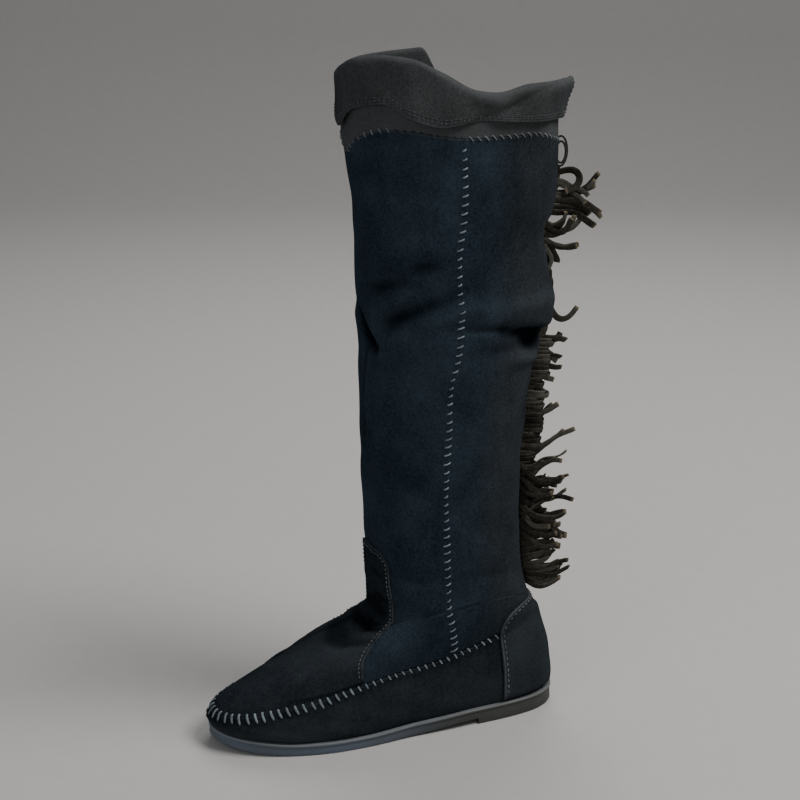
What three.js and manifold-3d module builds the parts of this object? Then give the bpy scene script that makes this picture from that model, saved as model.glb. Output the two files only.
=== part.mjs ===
// A tall suede moccasin boot for the left foot, standing empty on its sole.
// Millimetres, +Z up, toe towards -Y, lateral side towards +X.
// The origin is on the floor under the centre of the heel's tread.
import * as THREE from 'three';
import { mergeVertices } from 'three/addons/utils/BufferGeometryUtils.js';
import Module from 'manifold-3d';

const SOLE_LENGTH = 265;
const BALL_WIDTH = 92.5;
const HEEL_THICK = 12.6;        // sole under the heel, tread included
const HEEL_CENTRE = 36;         // back of the sole to the middle of the heel tread
const HEEL_TREAD = 72;          // back of the sole to the heel's front step
const FORE_FLAT = [158, 208];   // forefoot's flat spot, from the back of the sole
const TOE_SPRING = 5.5;
const SOLE_LIP = 0.8;           // lip that stands out along the sole's top edge
const TREAD_BEVEL = 1.1;        // bevel round the edge of the tread
const FEATHER_INSET = 3.2;      // upper's foot inside the sole's edge
const INSTEP_HEIGHT = 86;       // floor to the narrowest part of the ankle
const WALL_HEIGHT = INSTEP_HEIGHT * 0.872; // floor to the moccasin seam at the heel
const WALL_BULGE = 4.6;
const ANKLE_TILT = 5;           // ankle ring lower in front and higher behind
const ANKLE_SIDE = 13;          // and higher at the sides
const LEG_HEIGHT = 480;
const LEG_DEPTH = 155;          // front to back at the collar
const LEG_WIDTH = 92;           // side to side at the collar
const SHAFT_HEIGHT = LEG_HEIGHT * 0.908; // floor to the whipped seam under the cuff
const ROUND = 2.25;             // power of the leg's oval section
const FLAT_FRONT = 1.2;         // added to it in front of the ankle
const LEATHER = 1.6;
const GAP = 0.3;
const SEAM_GAP = 0.5;           // between the wall's edge and the leg's
const SEAM_RISE = 1.0;          // raised moccasin seam
const TAB_HEIGHT = INSTEP_HEIGHT * 1.63; // floor to the top of the vamp's tab
const TAB_CORNER = 13;          // rounding of the tab's top corners
const TAB_ROUND = 0.38;         // share of the tab's half width that the rounding takes
const COUNTER_HEIGHT = INSTEP_HEIGHT * 1.012;
const COUNTER_GAP = 0.45;       // behind the heel counter
const COUNTER_FRONT = 0.86;     // level of the top of its front edge
const COUNTER_ARCH = 2.6;       // power of its arched top edge
const CUFF_FALL = 3.4;          // how far the cuff's flap hangs off the leg
const CUFF_TURN = 5.5;          // height of its turned edge
const CUFF_OPEN = 0.7;          // columns between its two ends at the back
const SOCK_THICK = 2.4;
const FRINGE_STEM = 6;          // uncut part of the fringe behind the back seam
const STEM_THICK = 1.7;
const STRIP_WIDE = 3.6;
const STRIP_THICK = 1.5;
const STRIP_LENGTH = 46;
const STRIP_SPREAD = 42;        // how far apart the strips' tips stand
const STRIP_CURL = 3;

const COLOURS = { leather: 0x1c2228, cuff: 0x2e2f30, rubber: 0x3a3e45, sock: 0x2a2622, fringe: 0x24221f };

// Sole outline. at: share of length from the heel; the widths are shares of ball width.
const OUTLINE = [
  // at, lateral, medial, centre
  [0.00, 0.620, 0.620, 0.000],
  [0.08, 0.545, 0.545, 0.000],
  [0.18, 0.468, 0.465, 0.000],
  [0.30, 0.425, 0.405, 0.000],
  [0.45, 0.418, 0.365, -0.010],
  [0.60, 0.480, 0.450, -0.030],
  [0.70, 0.530, 0.525, -0.045],
  [0.82, 0.585, 0.555, -0.075],
  [0.92, 0.640, 0.580, -0.100],
  [1.00, 0.680, 0.600, -0.110],
];

// Height of the sole's top. at: share of length; top: share of the heel's thickness.
const SOLE_TOP = [
  // at, top
  [0.00, 1.00],
  [0.10, 1.00],
  [0.28, 0.98],
  [0.45, 0.82],
  [0.62, 0.67],
  [0.78, 0.68],
  [0.90, 0.84],
  [1.00, 1.06],
];

// Side of the sole, from its top edge down. inset: share of the lip; drop: share of the heel's
// thickness.
const SOLE_SIDE = [
  // inset, drop
  [0.50, 0.00],
  [0.00, 0.04],
  [0.00, 0.16],
  [1.00, 0.21],
];

// Underside of the arch, from the heel's front step to the forefoot's flat spot.
const ARCH = [
  // at: share of the way, rise: share of the heel's thickness
  [0.00, 0.33],
  [0.18, 0.29],
  [0.45, 0.15],
  [0.75, 0.04],
  [1.00, 0.00],
];

// Moccasin seam. height: share of wall height; inset and medial: shares of ball width.
const MOC_SEAM = [
  // at, height, inset, medial (further in on the medial side)
  [0.00, 1.000, 0.110, 0.000],
  [0.12, 0.913, 0.082, 0.000],
  [0.25, 0.807, 0.062, 0.000],
  [0.40, 0.700, 0.051, 0.000],
  [0.55, 0.640, 0.050, 0.005],
  [0.65, 0.587, 0.044, 0.012],
  [0.75, 0.507, 0.032, 0.024],
  [0.85, 0.447, 0.010, 0.030],
  [0.93, 0.380, -0.004, 0.020],
  [1.00, 0.333, -0.010, 0.000],
];

// Rings of the leg. height: share of leg height; front, back: shares of leg depth from the
// back of the sole; side: share of leg width.
const LEG = [
  // height, front, back, side
  [0.179, 0.908, 0.142, 0.397],
  [0.217, 0.909, 0.174, 0.402],
  [0.250, 0.916, 0.184, 0.408],
  [0.312, 0.930, 0.197, 0.413],
  [0.396, 0.948, 0.200, 0.429],
  [0.490, 0.961, 0.168, 0.451],
  [0.558, 0.968, 0.148, 0.473],
  [0.592, 0.968, 0.090, 0.489],
  [0.625, 0.974, 0.065, 0.500],
  [0.667, 0.977, 0.061, 0.505],
  [0.719, 0.981, 0.090, 0.505],
  [0.750, 0.981, 0.103, 0.505],
  [0.792, 0.987, 0.061, 0.505],
  [0.842, 1.006, 0.039, 0.505],
  [0.881, 1.026, 0.039, 0.503],
  [0.908, 1.042, 0.045, 0.500],
  [0.948, 1.042, 0.052, 0.495],
  [1.000, 1.042, 0.058, 0.489],
];

// Folds of the slack leg. height and tall: shares of leg height; angle and wide: degrees
// round from the front, lateral side positive; slope: height gained per degree; depth: share of
// leg width, outwards.
const FOLDS = [
  // height, angle, tall, wide, slope, depth
  [0.596, 128, 0.016, 34, 0.00010, -0.046],
  [0.630, 140, 0.026, 36, 0.00000, 0.024],
  [0.640, 62, 0.016, 30, 0.00042, -0.026],
  [0.700, 60, 0.020, 34, 0.00040, -0.017],
  [0.640, 14, 0.020, 16, -0.00090, -0.033],
  [0.610, -120, 0.018, 40, -0.00010, -0.035],
  [0.680, -60, 0.020, 34, -0.00030, -0.022],
  [0.215, 20, 0.014, 30, -0.00030, -0.015],
];

// Column anchors round the boot, degrees from the toe.
const ANCHORS = [
  // level, tab edge, side seam
  [1.00, 77.6, 108.7],
  [1.25, 69.0, 106.4],
  [1.50, 61.5, 102.6],
  [1.75, 56.5, 98.5],
  [2.00, 52.5, 94.8],
  [2.06, 50.5, 96.0],
  [2.15, 46.0, 97.0],
  [2.60, 46.0, 99.0],
  [3.00, 46.0, 104.0],
];

// Edges of the leg's top and the cuff. angle: degrees from the front, medial negative;
// seam: share of shaft height; hem, crest: shares of leg height; lean: share of leg depth by which
// the crest stands outwards.
const COLLAR = [
  // angle, seam, hem, crest, lean
  [-180, 0.972, 0.923, 0.966, 0.026],
  [-150, 0.984, 0.920, 0.955, 0.019],
  [-130, 0.988, 0.914, 0.942, 0.013],
  [-110, 0.990, 0.914, 0.952, 0.013],
  [-98, 0.994, 0.918, 0.976, 0.010],
  [-88, 1.000, 0.928, 1.016, 0.006],
  [-82, 1.002, 0.932, 1.015, 0.006],
  [-50, 1.008, 0.946, 1.010, 0.000],
  [-20, 1.000, 0.946, 0.999, 0.000],
  [0, 0.978, 0.923, 1.008, 0.000],
  [20, 1.000, 0.951, 1.020, 0.000],
  [42, 1.016, 0.959, 1.025, 0.000],
  [56, 1.013, 0.940, 1.021, 0.003],
  [72, 1.005, 0.927, 1.002, 0.008],
  [90, 1.000, 0.934, 0.976, 0.016],
  [101, 1.000, 0.932, 0.972, 0.018],
  [120, 1.000, 0.928, 0.981, 0.023],
  [150, 0.984, 0.925, 0.981, 0.029],
  [165, 0.976, 0.923, 0.979, 0.048],
  [180, 0.968, 0.922, 0.978, 0.090],
];

// Section of the cuff's turned edge. out: share of the way from band to flap; drop: share of the
// turned edge's height below the crest.
const CUFF_EDGE = [
  // out, drop
  [0.00, 1.00],
  [0.18, 0.35],
  [0.52, 0.15],
  [0.90, 0.47],
  [1.00, 1.18],
];

// Fringe. from, to: shares of shaft height; strips: how many; reach: share of strip length.
const FRINGE = [
  // from, to, strips, reach
  [0.205, 0.420, 11, 0.80],
  [0.430, 0.640, 10, 0.92],
  [0.690, 0.700, 1, 0.60],
  [0.810, 0.930, 8, 1.10],
];

// Shape of the wall: where its bulge peaks, how much of it the heel and the toe have, and the
// power by which the wall leans in.
const WALL_SHAPE = { peak: 0.75, heel: 0.4, toe: 0.95, lean: 1.6 };

// Way from the moccasin seam to the ankle: how early the sides turn up, how early the front
// rises, and the share of the leg over which the tilted ankle levels out.
const ANKLE_SHAPE = { hug: 0.7, rise: 0.16, fade: 0.12 };

const AT_TAB = 8;               // columns from the front to the tab's edge
const AT_SEAM = 13;             // to the side seam
const AT_BACK = 24;             // to the back
const AT_COUNTER = 16;          // to the counter's edge
const TAB_OVERLAP = 2;          // columns of leg under the tab's edge
const TAB_CLEAR = 0.014;        // radians the leg stands off the foot of the tab's edge
const SEAM_CLEAR = 0.0034;      // radians each panel stands back from the side seam
const COLLAR_LEVEL = 2.9;       // level at which the collar's edges are read

const WALL_ROWS = [0, 0.15, 0.32, 0.5, 0.68, 0.84, 0.95, 1];
const VAMP_ROWS = [1.05, 1.13, 1.26, 1.5, 1.75, 1.92, 2];
const TAB_ROWS = [0.25, 0.5, 0.75, 1];
const COUNTER_ROWS = [0.06, 0.15, 0.32, 0.5, 0.68];
const LEG_ROWS = [0.31, 0.39, 0.46, 0.52, 0.555, 0.58, 0.605, 0.63, 0.67, 0.72, 0.76,
  0.80, 0.85];

const DEG = Math.PI / 180;
const mix = (a, b, k) => a + (b - a) * k;
const clamp = (v, lo, hi) => Math.min(Math.max(v, lo), hi);
const soft = (k) => { const c = clamp(k, 0, 1); return c * c * (3 - 2 * c); };

// Column of a table at a given value of its first column, by a monotone cubic.
function pick(table, column, at) {
  const last = table.length - 1;
  const x = clamp(at, table[0][0], table[last][0]);
  let k = 0;
  while (k < last - 1 && x > table[k + 1][0]) k += 1;
  const run = (i) => table[i + 1][0] - table[i][0];
  const rate = (i) => (table[i + 1][column] - table[i][column]) / run(i);
  const slope = (i) => {
    if (i === 0) return rate(0);
    if (i === last) return rate(last - 1);
    const [p, q] = [rate(i - 1), rate(i)];
    return p * q <= 0 ? 0 : 2 * p * q / (p + q);
  };
  const h = run(k);
  const t = (x - table[k][0]) / h;
  const [a, b] = [table[k][column], table[k + 1][column]];
  const [ma, mb] = [slope(k) * h, slope(k + 1) * h];
  return a + t * (ma + t * (3 * (b - a) - 2 * ma - mb + t * (2 * (a - b) + ma + mb)));
}

// Point of the sole's outline, angle from the toe, moved in by inset. Returns x and distance
// from the back of the sole.
function outlineAt(angle) {
  const u = (1 + Math.cos(angle)) / 2;
  const s = Math.sin(angle);
  const half = pick(OUTLINE, s >= 0 ? 1 : 2, u);
  return [(half * s + pick(OUTLINE, 3, u)) * BALL_WIDTH, u * SOLE_LENGTH, u];
}

function plan(angle, inset) {
  const e = 0.002;
  const [x, f, u] = outlineAt(angle);
  const [x0, f0] = outlineAt(angle - e);
  const [x1, f1] = outlineAt(angle + e);
  const n = Math.hypot(x1 - x0, f1 - f0);
  return [x + (f1 - f0) / n * inset, f - (x1 - x0) / n * inset, u];
}

const soleTop = (u) => HEEL_THICK * pick(SOLE_TOP, 1, u);
const place = (x, f, z) => new THREE.Vector3(x, HEEL_CENTRE - f, z);

// Angle round the leg for an angle round the foot: the front is drawn together.
const FRONT_DRAW = 0.35;
const turn = (a) => a - FRONT_DRAW * Math.sin(a);

function legRing(height, phi) {
  const share = height / LEG_HEIGHT;
  const front = pick(LEG, 1, share) * LEG_DEPTH;
  const back = pick(LEG, 2, share) * LEG_DEPTH;
  const side = pick(LEG, 3, share) * LEG_WIDTH;
  const [c, s] = [Math.cos(phi), Math.sin(phi)];
  const flat = soft(c * 2) * (1 - soft((height - INSTEP_HEIGHT) / (LEG_HEIGHT * 0.4)));
  const power = ROUND + FLAT_FRONT * flat;
  const r = (Math.abs(c) ** power + Math.abs(s) ** power) ** (-1 / power);
  let push = 0;
  const deg = phi / DEG;
  for (const [high, angle, tall, wide, slope, depth] of FOLDS) {
    const da = deg - angle + (deg - angle < -180 ? 360 : 0);
    const dz = share - high - slope * da;
    push += depth * LEG_WIDTH * Math.exp(-((dz / tall) ** 2) - (da / wide) ** 2);
  }
  const [x, f] = [side * s * r, (front + back) / 2 + (front - back) / 2 * c * r];
  return [x + s * push, f + c * push];
}

// Seam ring of the moccasin's wall.
function seamRing(angle) {
  const u = (1 + Math.cos(angle)) / 2;
  const side = clamp(-Math.sin(angle) * 1.2, 0, 1);
  const inset = (pick(MOC_SEAM, 2, u) + pick(MOC_SEAM, 3, u) * side) * BALL_WIDTH;
  return { inset, height: pick(MOC_SEAM, 1, u) * WALL_HEIGHT };
}

// The boot's outer surface. level 0 is the feather line, 1 the moccasin seam, 2 the ankle and
// 3 the top of the leg; angle runs from the toe round the lateral side.
function skin(level, angle) {
  const seam = seamRing(angle);
  const u = (1 + Math.cos(angle)) / 2;
  if (level <= 1) {
    const k = Math.max(level, 0);
    const share = mix(WALL_SHAPE.heel, WALL_SHAPE.toe, u);
    const bulge = WALL_BULGE * Math.sin(Math.PI * k ** WALL_SHAPE.peak) * share;
    const [x, f] = plan(angle, FEATHER_INSET + seam.inset * k ** WALL_SHAPE.lean - bulge);
    const foot = soleTop(u) + GAP;
    return place(x, f, mix(foot, seam.height, k));
  }
  const phi = turn(angle);
  const ankle = INSTEP_HEIGHT - ANKLE_TILT * Math.cos(phi) + ANKLE_SIDE * Math.sin(phi) ** 2;
  if (level <= 2) {
    const k = level - 1;
    const [x1, f1] = plan(angle, FEATHER_INSET + seam.inset);
    const [x2, f2] = legRing(INSTEP_HEIGHT, phi);
    const front = clamp(Math.cos(angle), 0, 1);
    const near = 1 - (1 - k) ** (1 + ANKLE_SHAPE.hug * soft(1 - 1.6 * front));
    const high = k ** (1 - ANKLE_SHAPE.rise * front);
    return place(mix(x1, x2, near), mix(f1, f2, near), mix(seam.height, ankle, high));
  }
  const height = mix(INSTEP_HEIGHT, LEG_HEIGHT, level - 2);
  const [x, f] = legRing(height, phi);
  return place(x, f, height + (ankle - INSTEP_HEIGHT) * (1 - soft((level - 2) / ANKLE_SHAPE.fade)));
}

const levelOf = (height) => 2 + (height - INSTEP_HEIGHT) / (LEG_HEIGHT - INSTEP_HEIGHT);

// The same surface lifted off along its normal.
function lifted(level, angle, lift) {
  const e = 0.01;
  const at = skin(level, angle);
  const up = skin(level + e, angle).sub(skin(Math.max(level - e, 0), angle));
  const round = skin(level, angle + e).sub(skin(level, angle - e));
  return at.add(up.cross(round).normalize().multiplyScalar(-lift));
}

// Angle of a column: even steps between the front, the tab's edge, the side seam and the back.
function columnAngle(column, level) {
  const c = Math.abs(column);
  const tab = pick(ANCHORS, 1, level);
  const seam = pick(ANCHORS, 2, level);
  const stops = [[0, 0], [AT_TAB, tab], [AT_SEAM, seam], [AT_BACK, 180]];
  const k = c <= AT_TAB ? 1 : c <= AT_SEAM ? 2 : 3;
  const [[c0, a0], [c1, a1]] = [stops[k - 1], stops[k]];
  return Math.sign(column) * mix(a0, a1, (c - c0) / (c1 - c0)) * DEG;
}

// Seam height on the leg and the other edges of the collar at an angle round the leg.
function collarAt(angle) {
  const deg = clamp(turn(angle) / DEG, -180, 180);
  return {
    seam: pick(COLLAR, 1, deg) * SHAFT_HEIGHT,
    hem: pick(COLLAR, 2, deg) * LEG_HEIGHT,
    crest: pick(COLLAR, 3, deg) * LEG_HEIGHT,
    lean: pick(COLLAR, 4, deg) * LEG_DEPTH,
  };
}

function toGeometry(points, faces) {
  const geometry = new THREE.BufferGeometry();
  const flat = points.flatMap((p) => [p.x, p.y, p.z]);
  geometry.setAttribute('position', new THREE.Float32BufferAttribute(flat, 3));
  geometry.setIndex(faces.flat());
  return geometry;
}

// A sheet of leather. grid[row][column] holds [outer, inner]; on(row, column) tells which cells
// are leather. Columns run round from the front towards the lateral side, rows upwards.
function sheet(grid, wraps = false, on = () => true) {
  const [rows, columns] = [grid.length, grid[0].length];
  const cells = wraps ? columns : columns - 1;
  const points = grid.flat(2);
  const id = (r, c, side) => (r * columns + c % columns) * 2 + side;
  const has = (r, c) => {
    const k = wraps ? (c + cells) % cells : c;
    return r >= 0 && r < rows - 1 && k >= 0 && k < cells && on(r, k);
  };
  const faces = [];
  const quad = (a, b, c, d) => faces.push([a, b, c], [a, c, d]);
  for (let r = 0; r < rows - 1; r += 1) {
    for (let c = 0; c < cells; c += 1) {
      if (!has(r, c)) continue;
      quad(id(r, c, 0), id(r, c + 1, 0), id(r + 1, c + 1, 0), id(r + 1, c, 0));
      quad(id(r, c, 1), id(r + 1, c, 1), id(r + 1, c + 1, 1), id(r, c + 1, 1));
      const rim = (r0, c0, r1, c1) => quad(id(r0, c0, 0), id(r0, c0, 1), id(r1, c1, 1), id(r1, c1, 0));
      if (!has(r - 1, c)) rim(r, c, r, c + 1);
      if (!has(r + 1, c)) rim(r + 1, c + 1, r + 1, c);
      if (!has(r, c - 1)) rim(r + 1, c, r, c);
      if (!has(r, c + 1)) rim(r, c + 1, r + 1, c + 1);
    }
  }
  return toGeometry(points, faces);
}

const layer = (level, angle, out, thick = LEATHER) => [
  lifted(level, angle, out), lifted(level, angle, out - thick)];

// A plate from rings, top rim first, each symmetrical round the toe; flat ladders close it.
function plate(rings) {
  const count = rings[0].length;
  const faces = [];
  for (let r = 0; r < rings.length - 1; r += 1) {
    for (let c = 0; c < count; c += 1) {
      const [a, b] = [r * count + c, r * count + (c + 1) % count];
      faces.push([a, a + count, b + count], [a, b + count, b]);
    }
  }
  const low = (rings.length - 1) * count;
  for (let c = 0; c < count / 2; c += 1) {
    const [a, b] = [c, c + 1];
    const [d, e] = [(count - c) % count, count - c - 1];
    for (const [base, flip] of [[0, false], [low, true]]) {
      for (const [p, q, s] of [[a, b, d], [b, e, d]]) {
        const flat = p === s || p === q;
        const face = flip ? [p, s, q] : [p, q, s];
        if (!flat) faces.push(face.map((k) => base + k));
      }
    }
  }
  return toGeometry(rings.flat(), faces);
}

// Ring round the sole's outline, moved in by inset, at a height worked out from the length.
function outlineRing(inset, height, count = 48) {
  return Array.from({ length: count }, (_, i) => {
    const [x, f, u] = plan(i / count * 2 * Math.PI, inset);
    return place(x, f, height(u));
  });
}

// A block across the foot with the given side profile of [distance from the back, height].
function acrossFoot(line, half) {
  const turned = THREE.ShapeUtils.isClockWise(line.map(([f, z]) => new THREE.Vector2(f, z)));
  const profile = turned ? [...line].reverse() : line;
  const n = profile.length;
  const points = [half, -half].flatMap((x) => profile.map(([f, z]) => place(x, f, z)));
  const shape = profile.map(([f, z]) => new THREE.Vector2(f, z));
  const faces = [];
  for (const [a, b, c] of THREE.ShapeUtils.triangulateShape(shape, [])) {
    faces.push([a, c, b], [n + a, n + b, n + c]);
  }
  for (let i = 0; i < n; i += 1) {
    const j = (i + 1) % n;
    faces.push([i, j, n + j], [i, n + j, n + i]);
  }
  return toGeometry(points, faces);
}

const wasm = await Module();
wasm.setup();

function toSolid(geometry) {
  const bare = new THREE.BufferGeometry();
  bare.setAttribute('position', geometry.getAttribute('position'));
  bare.setIndex(geometry.getIndex());
  const merged = mergeVertices(bare, 1e-5);
  const vertProperties = new Float32Array(merged.getAttribute('position').array);
  const triVerts = new Uint32Array(merged.getIndex().array);
  return new wasm.Manifold(new wasm.Mesh({ numProp: 3, vertProperties, triVerts }));
}

function fromSolid(solid) {
  const mesh = solid.getMesh();
  const geometry = new THREE.BufferGeometry();
  geometry.setAttribute('position', new THREE.BufferAttribute(mesh.vertProperties, 3));
  geometry.setIndex(new THREE.BufferAttribute(mesh.triVerts, 1));
  return geometry;
}

// Moulded rubber sole: lipped body, cut below by the arch and the toe spring.
function outsoleGeometry() {
  const side = SOLE_SIDE.map(([inset, drop]) => outlineRing(
    inset * SOLE_LIP, (u) => soleTop(u) - drop * HEEL_THICK));
  const body = plate([
    ...side,
    outlineRing(SOLE_LIP / 2, () => TREAD_BEVEL),
    outlineRing(SOLE_LIP / 2 + TREAD_BEVEL, () => 0),
  ]);
  const below = -HEEL_THICK;
  const [flatFrom, flatTo] = FORE_FLAT;
  const archLine = ARCH.map(([k, rise]) => [mix(HEEL_TREAD, flatFrom, k), rise * HEEL_THICK]);
  const arch = [[HEEL_TREAD, below], ...archLine, [flatFrom, below]];
  const past = 1.15;
  const springLine = [0, 0.35, 0.6, 0.8, 1, past].map((k) => [
    mix(flatTo, SOLE_LENGTH, k), TOE_SPRING * k * k]);
  const spring = [[flatTo, below], ...springLine, [springLine.at(-1)[0], below]];
  const cut = [arch, spring].map((line) => toSolid(acrossFoot(line, BALL_WIDTH)));
  return fromSolid(toSolid(body).subtract(cut[0]).subtract(cut[1]));
}

// Sock inside the foot, on the sole.
function insoleGeometry() {
  const inset = FEATHER_INSET + LEATHER + 2 * GAP;
  const at = (rise) => (u) => soleTop(u) + GAP + rise;
  return plate([
    outlineRing(inset + 0.4, at(SOCK_THICK)),
    outlineRing(inset, at(SOCK_THICK - 0.5)),
    outlineRing(inset, at(0)),
  ]);
}

// Level of the tab's top edge, rounded off over its last columns.
const tabTop = (column) => {
  const rounded = AT_TAB * TAB_ROUND;
  const corner = 0.99 * clamp((Math.abs(column) - AT_TAB + rounded) / rounded, 0, 1);
  return levelOf(TAB_HEIGHT - TAB_CORNER * (1 - Math.sqrt(1 - corner * corner)));
};

// Whether the leg lies under the vamp at a corner of the grid, with a margin of one step.
const covers = (column, level) => level >= 1.99
  || (level > 1.1 && Math.abs(column) >= AT_TAB - TAB_OVERLAP - 1);

// Foot of the boot: the wall gathered to the vamp, and the vamp's tab over the leg.
function upperGeometry() {
  const columns = Array.from({ length: 2 * AT_BACK }, (_, i) => (i <= AT_BACK ? i : i - 2 * AT_BACK));
  const seamRise = (column, level) => {
    const along = 1 - soft((Math.abs(column) - AT_COUNTER + 3) / 2);
    return level > 0.9 && level < 1.02 ? SEAM_RISE * along : 0;
  };
  const rows = [...WALL_ROWS, ...VAMP_ROWS].map((level) => columns.map((column) => {
    const lift = covers(column, level) ? GAP + LEATHER : seamRise(column, level);
    return layer(level, columnAngle(column, level), lift, LEATHER + (covers(column, level) ? 0 : lift));
  }));
  const tab = TAB_ROWS.map((k) => columns.map((column) => {
    const level = mix(2, tabTop(Math.min(Math.abs(column), AT_TAB)), k);
    return layer(level, columnAngle(column, level), GAP + LEATHER);
  }));
  const top = WALL_ROWS.length - 1;
  const onTab = (c) => c < AT_TAB || c >= 2 * AT_BACK - AT_TAB;
  return sheet([...rows, ...tab], true, (r, c) => r < top || onTab(c));
}

// Level just above the moccasin seam, where the leg's leather starts.
function aboveSeam(angle) {
  const step = 0.02;
  const rate = skin(1 + step, angle).distanceTo(skin(1, angle)) / step;
  return 1 + SEAM_GAP / rate;
}

// Levels of the leg's rows in one column, up to the whipped seam under the cuff.
function legLevels(column) {
  const angle = columnAngle(column, COLLAR_LEVEL);
  const top = levelOf(collarAt(angle).seam);
  const fixed = [aboveSeam(columnAngle(column, 1)), ...VAMP_ROWS.slice(1)];
  const tab = TAB_ROWS.map((k) => mix(2, tabTop(Math.min(Math.abs(column), AT_TAB)), k));
  const leg = LEG_ROWS.map((share) => levelOf(share * LEG_HEIGHT));
  const last = leg.at(-1);
  return [...fixed, ...tab, ...leg, mix(last, top, 0.5), top];
}

// Half of the leg between two columns, the side seams standing GAP apart.
function legPanel(from, to, on) {
  const step = (column, level) => {
    const nudge = Math.abs(column) === AT_TAB ? TAB_CLEAR : 0;
    const seam = Math.abs(column) === AT_SEAM ? SEAM_CLEAR : 0;
    const inward = from + to === 0 ? -1 : 1;
    return columnAngle(column, level) + Math.sign(column) * (nudge + inward * seam);
  };
  const columns = Array.from({ length: to - from + 1 }, (_, i) => from + i);
  const levels = columns.map((c) => legLevels(c > AT_BACK ? c - 2 * AT_BACK : c));
  const grid = levels[0].map((_, r) => columns.map((c, i) => {
    const column = c > AT_BACK ? c - 2 * AT_BACK : c;
    const level = levels[i][r];
    const angle = step(column, level);
    if (r > 0) return layer(level, angle, 0);
    const shift = skin(level, angle).sub(skin(1, angle));
    return layer(1, angle, 0).map((point) => point.add(shift));
  }));
  return sheet(grid, false, on);
}

function shaftFrontGeometry() {
  const under = AT_TAB - TAB_OVERLAP;
  return legPanel(-AT_SEAM, AT_SEAM, (r, c) => {
    const column = c < AT_SEAM ? AT_SEAM - c - 1 : c - AT_SEAM;
    if (column >= AT_TAB) return true;
    return column >= under ? r >= 2 : r >= VAMP_ROWS.length;
  });
}

const shaftBackGeometry = () => legPanel(AT_SEAM, 2 * AT_BACK - AT_SEAM);

// Heel counter over the wall and the foot of the leg.
function counterGeometry() {
  const reach = AT_BACK - AT_COUNTER;
  const columns = Array.from({ length: 2 * reach + 1 }, (_, i) => i - reach);
  const back = 1 + (COUNTER_HEIGHT - WALL_HEIGHT) / (INSTEP_HEIGHT + ANKLE_TILT - WALL_HEIGHT);
  const top = (c) => {
    const out = 0.998 * Math.abs(c) / reach;
    return mix(back, COUNTER_FRONT, 1 - Math.sqrt(1 - out ** COUNTER_ARCH));
  };
  const last = COUNTER_ROWS.at(-1);
  const upper = [0.3, 0.6, 0.85, 1];
  const levels = columns.map((c) => [...COUNTER_ROWS, ...upper.map((k) => mix(last, top(c), k))]);
  const grid = levels[0].map((_, r) => columns.map((c, i) => {
    const column = c <= 0 ? AT_BACK + c : c - AT_BACK;
    return layer(levels[i][r], columnAngle(column, levels[i][r]), COUNTER_GAP + LEATHER);
  }));
  return sheet(grid);
}

// Cuff: a band on top of the leg, folded over outwards, its ends apart at the back.
function cuffGeometry() {
  const end = AT_BACK - CUFF_OPEN / 2;
  const columns = Array.from({ length: 2 * AT_BACK + 1 }, (_, i) => clamp(i - AT_BACK, -end, end));
  const strips = columns.map((column) => {
    const angle = columnAngle(column, COLLAR_LEVEL);
    const edge = collarAt(angle);
    const turned = CUFF_EDGE.map(([out, drop]) => [
      edge.lean + mix(-LEATHER, CUFF_FALL, out), edge.crest - drop * CUFF_TURN]);
    const line = [
      [-LEATHER / 2, edge.seam + SEAM_GAP],
      [mix(-LEATHER / 2, edge.lean, 0.18), mix(edge.seam, edge.crest, 0.45)],
      ...turned,
      [CUFF_FALL + edge.lean * 0.5, mix(edge.crest, edge.hem, 0.6)],
      [CUFF_FALL + edge.lean * 0.15, edge.hem],
    ];
    const up = new THREE.Vector3(0, 0, SEAM_GAP);
    const foot = layer(levelOf(edge.seam), angle, 0).map((point) => point.add(up));
    return line.map(([e, z], k) => {
      if (k === 0) return foot;
      const [p, q] = [line[Math.max(k - 1, 0)], line[Math.min(k + 1, line.length - 1)]];
      const n = Math.hypot(q[0] - p[0], q[1] - p[1]);
      const [ne, nz] = [(q[1] - p[1]) / n * LEATHER / 2, -(q[0] - p[0]) / n * LEATHER / 2];
      const at = (de, dz) => offRing(angle, z + dz, e + de);
      return [at(ne, nz), at(-ne, -nz)];
    });
  });
  const grid = strips[0].map((_, r) => strips.map((strip) => strip[r]));
  return sheet(grid);
}

// Point off the leg's top by a level distance, at a height that may pass the leg's end.
function offRing(angle, height, off) {
  const level = levelOf(Math.min(height, LEG_HEIGHT * 0.965));
  const at = skin(level, angle);
  const e = 0.01;
  const round = skin(level, angle + e).sub(skin(level, angle - e));
  const n = new THREE.Vector3(round.y, -round.x, 0).normalize();
  return at.add(n.multiplyScalar(off)).setZ(height);
}

// A number from 0 to 1 that differs from strip to strip.
const scatter = (seed) => { const v = Math.sin(seed * 12.9898) * 43758.5453; return v - Math.floor(v); };

// A strip of leather carried along a path, its width standing upright.
function strip(path, wide, thick) {
  const faces = [];
  const points = path.flatMap((p, k) => {
    const [before, after] = [path[Math.max(k - 1, 0)], path[Math.min(k + 1, path.length - 1)]];
    const ahead = after.clone().sub(before).normalize();
    const side = new THREE.Vector3(1, 0, 0).addScaledVector(ahead, -ahead.x).normalize();
    const up = side.clone().cross(ahead);
    return [[1, 1], [1, -1], [-1, -1], [-1, 1]].map(([a, b]) => p.clone()
      .addScaledVector(side, a * thick / 2).addScaledVector(up, b * wide / 2));
  });
  for (let k = 0; k < path.length - 1; k += 1) {
    for (let c = 0; c < 4; c += 1) {
      const [a, b] = [k * 4 + c, k * 4 + (c + 1) % 4];
      faces.push([a, b, b + 4], [a, b + 4, a + 4]);
    }
  }
  const last = (path.length - 1) * 4;
  faces.push([0, 2, 1], [0, 3, 2], [last, last + 1, last + 2], [last, last + 2, last + 3]);
  return toGeometry(points, faces);
}

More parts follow.
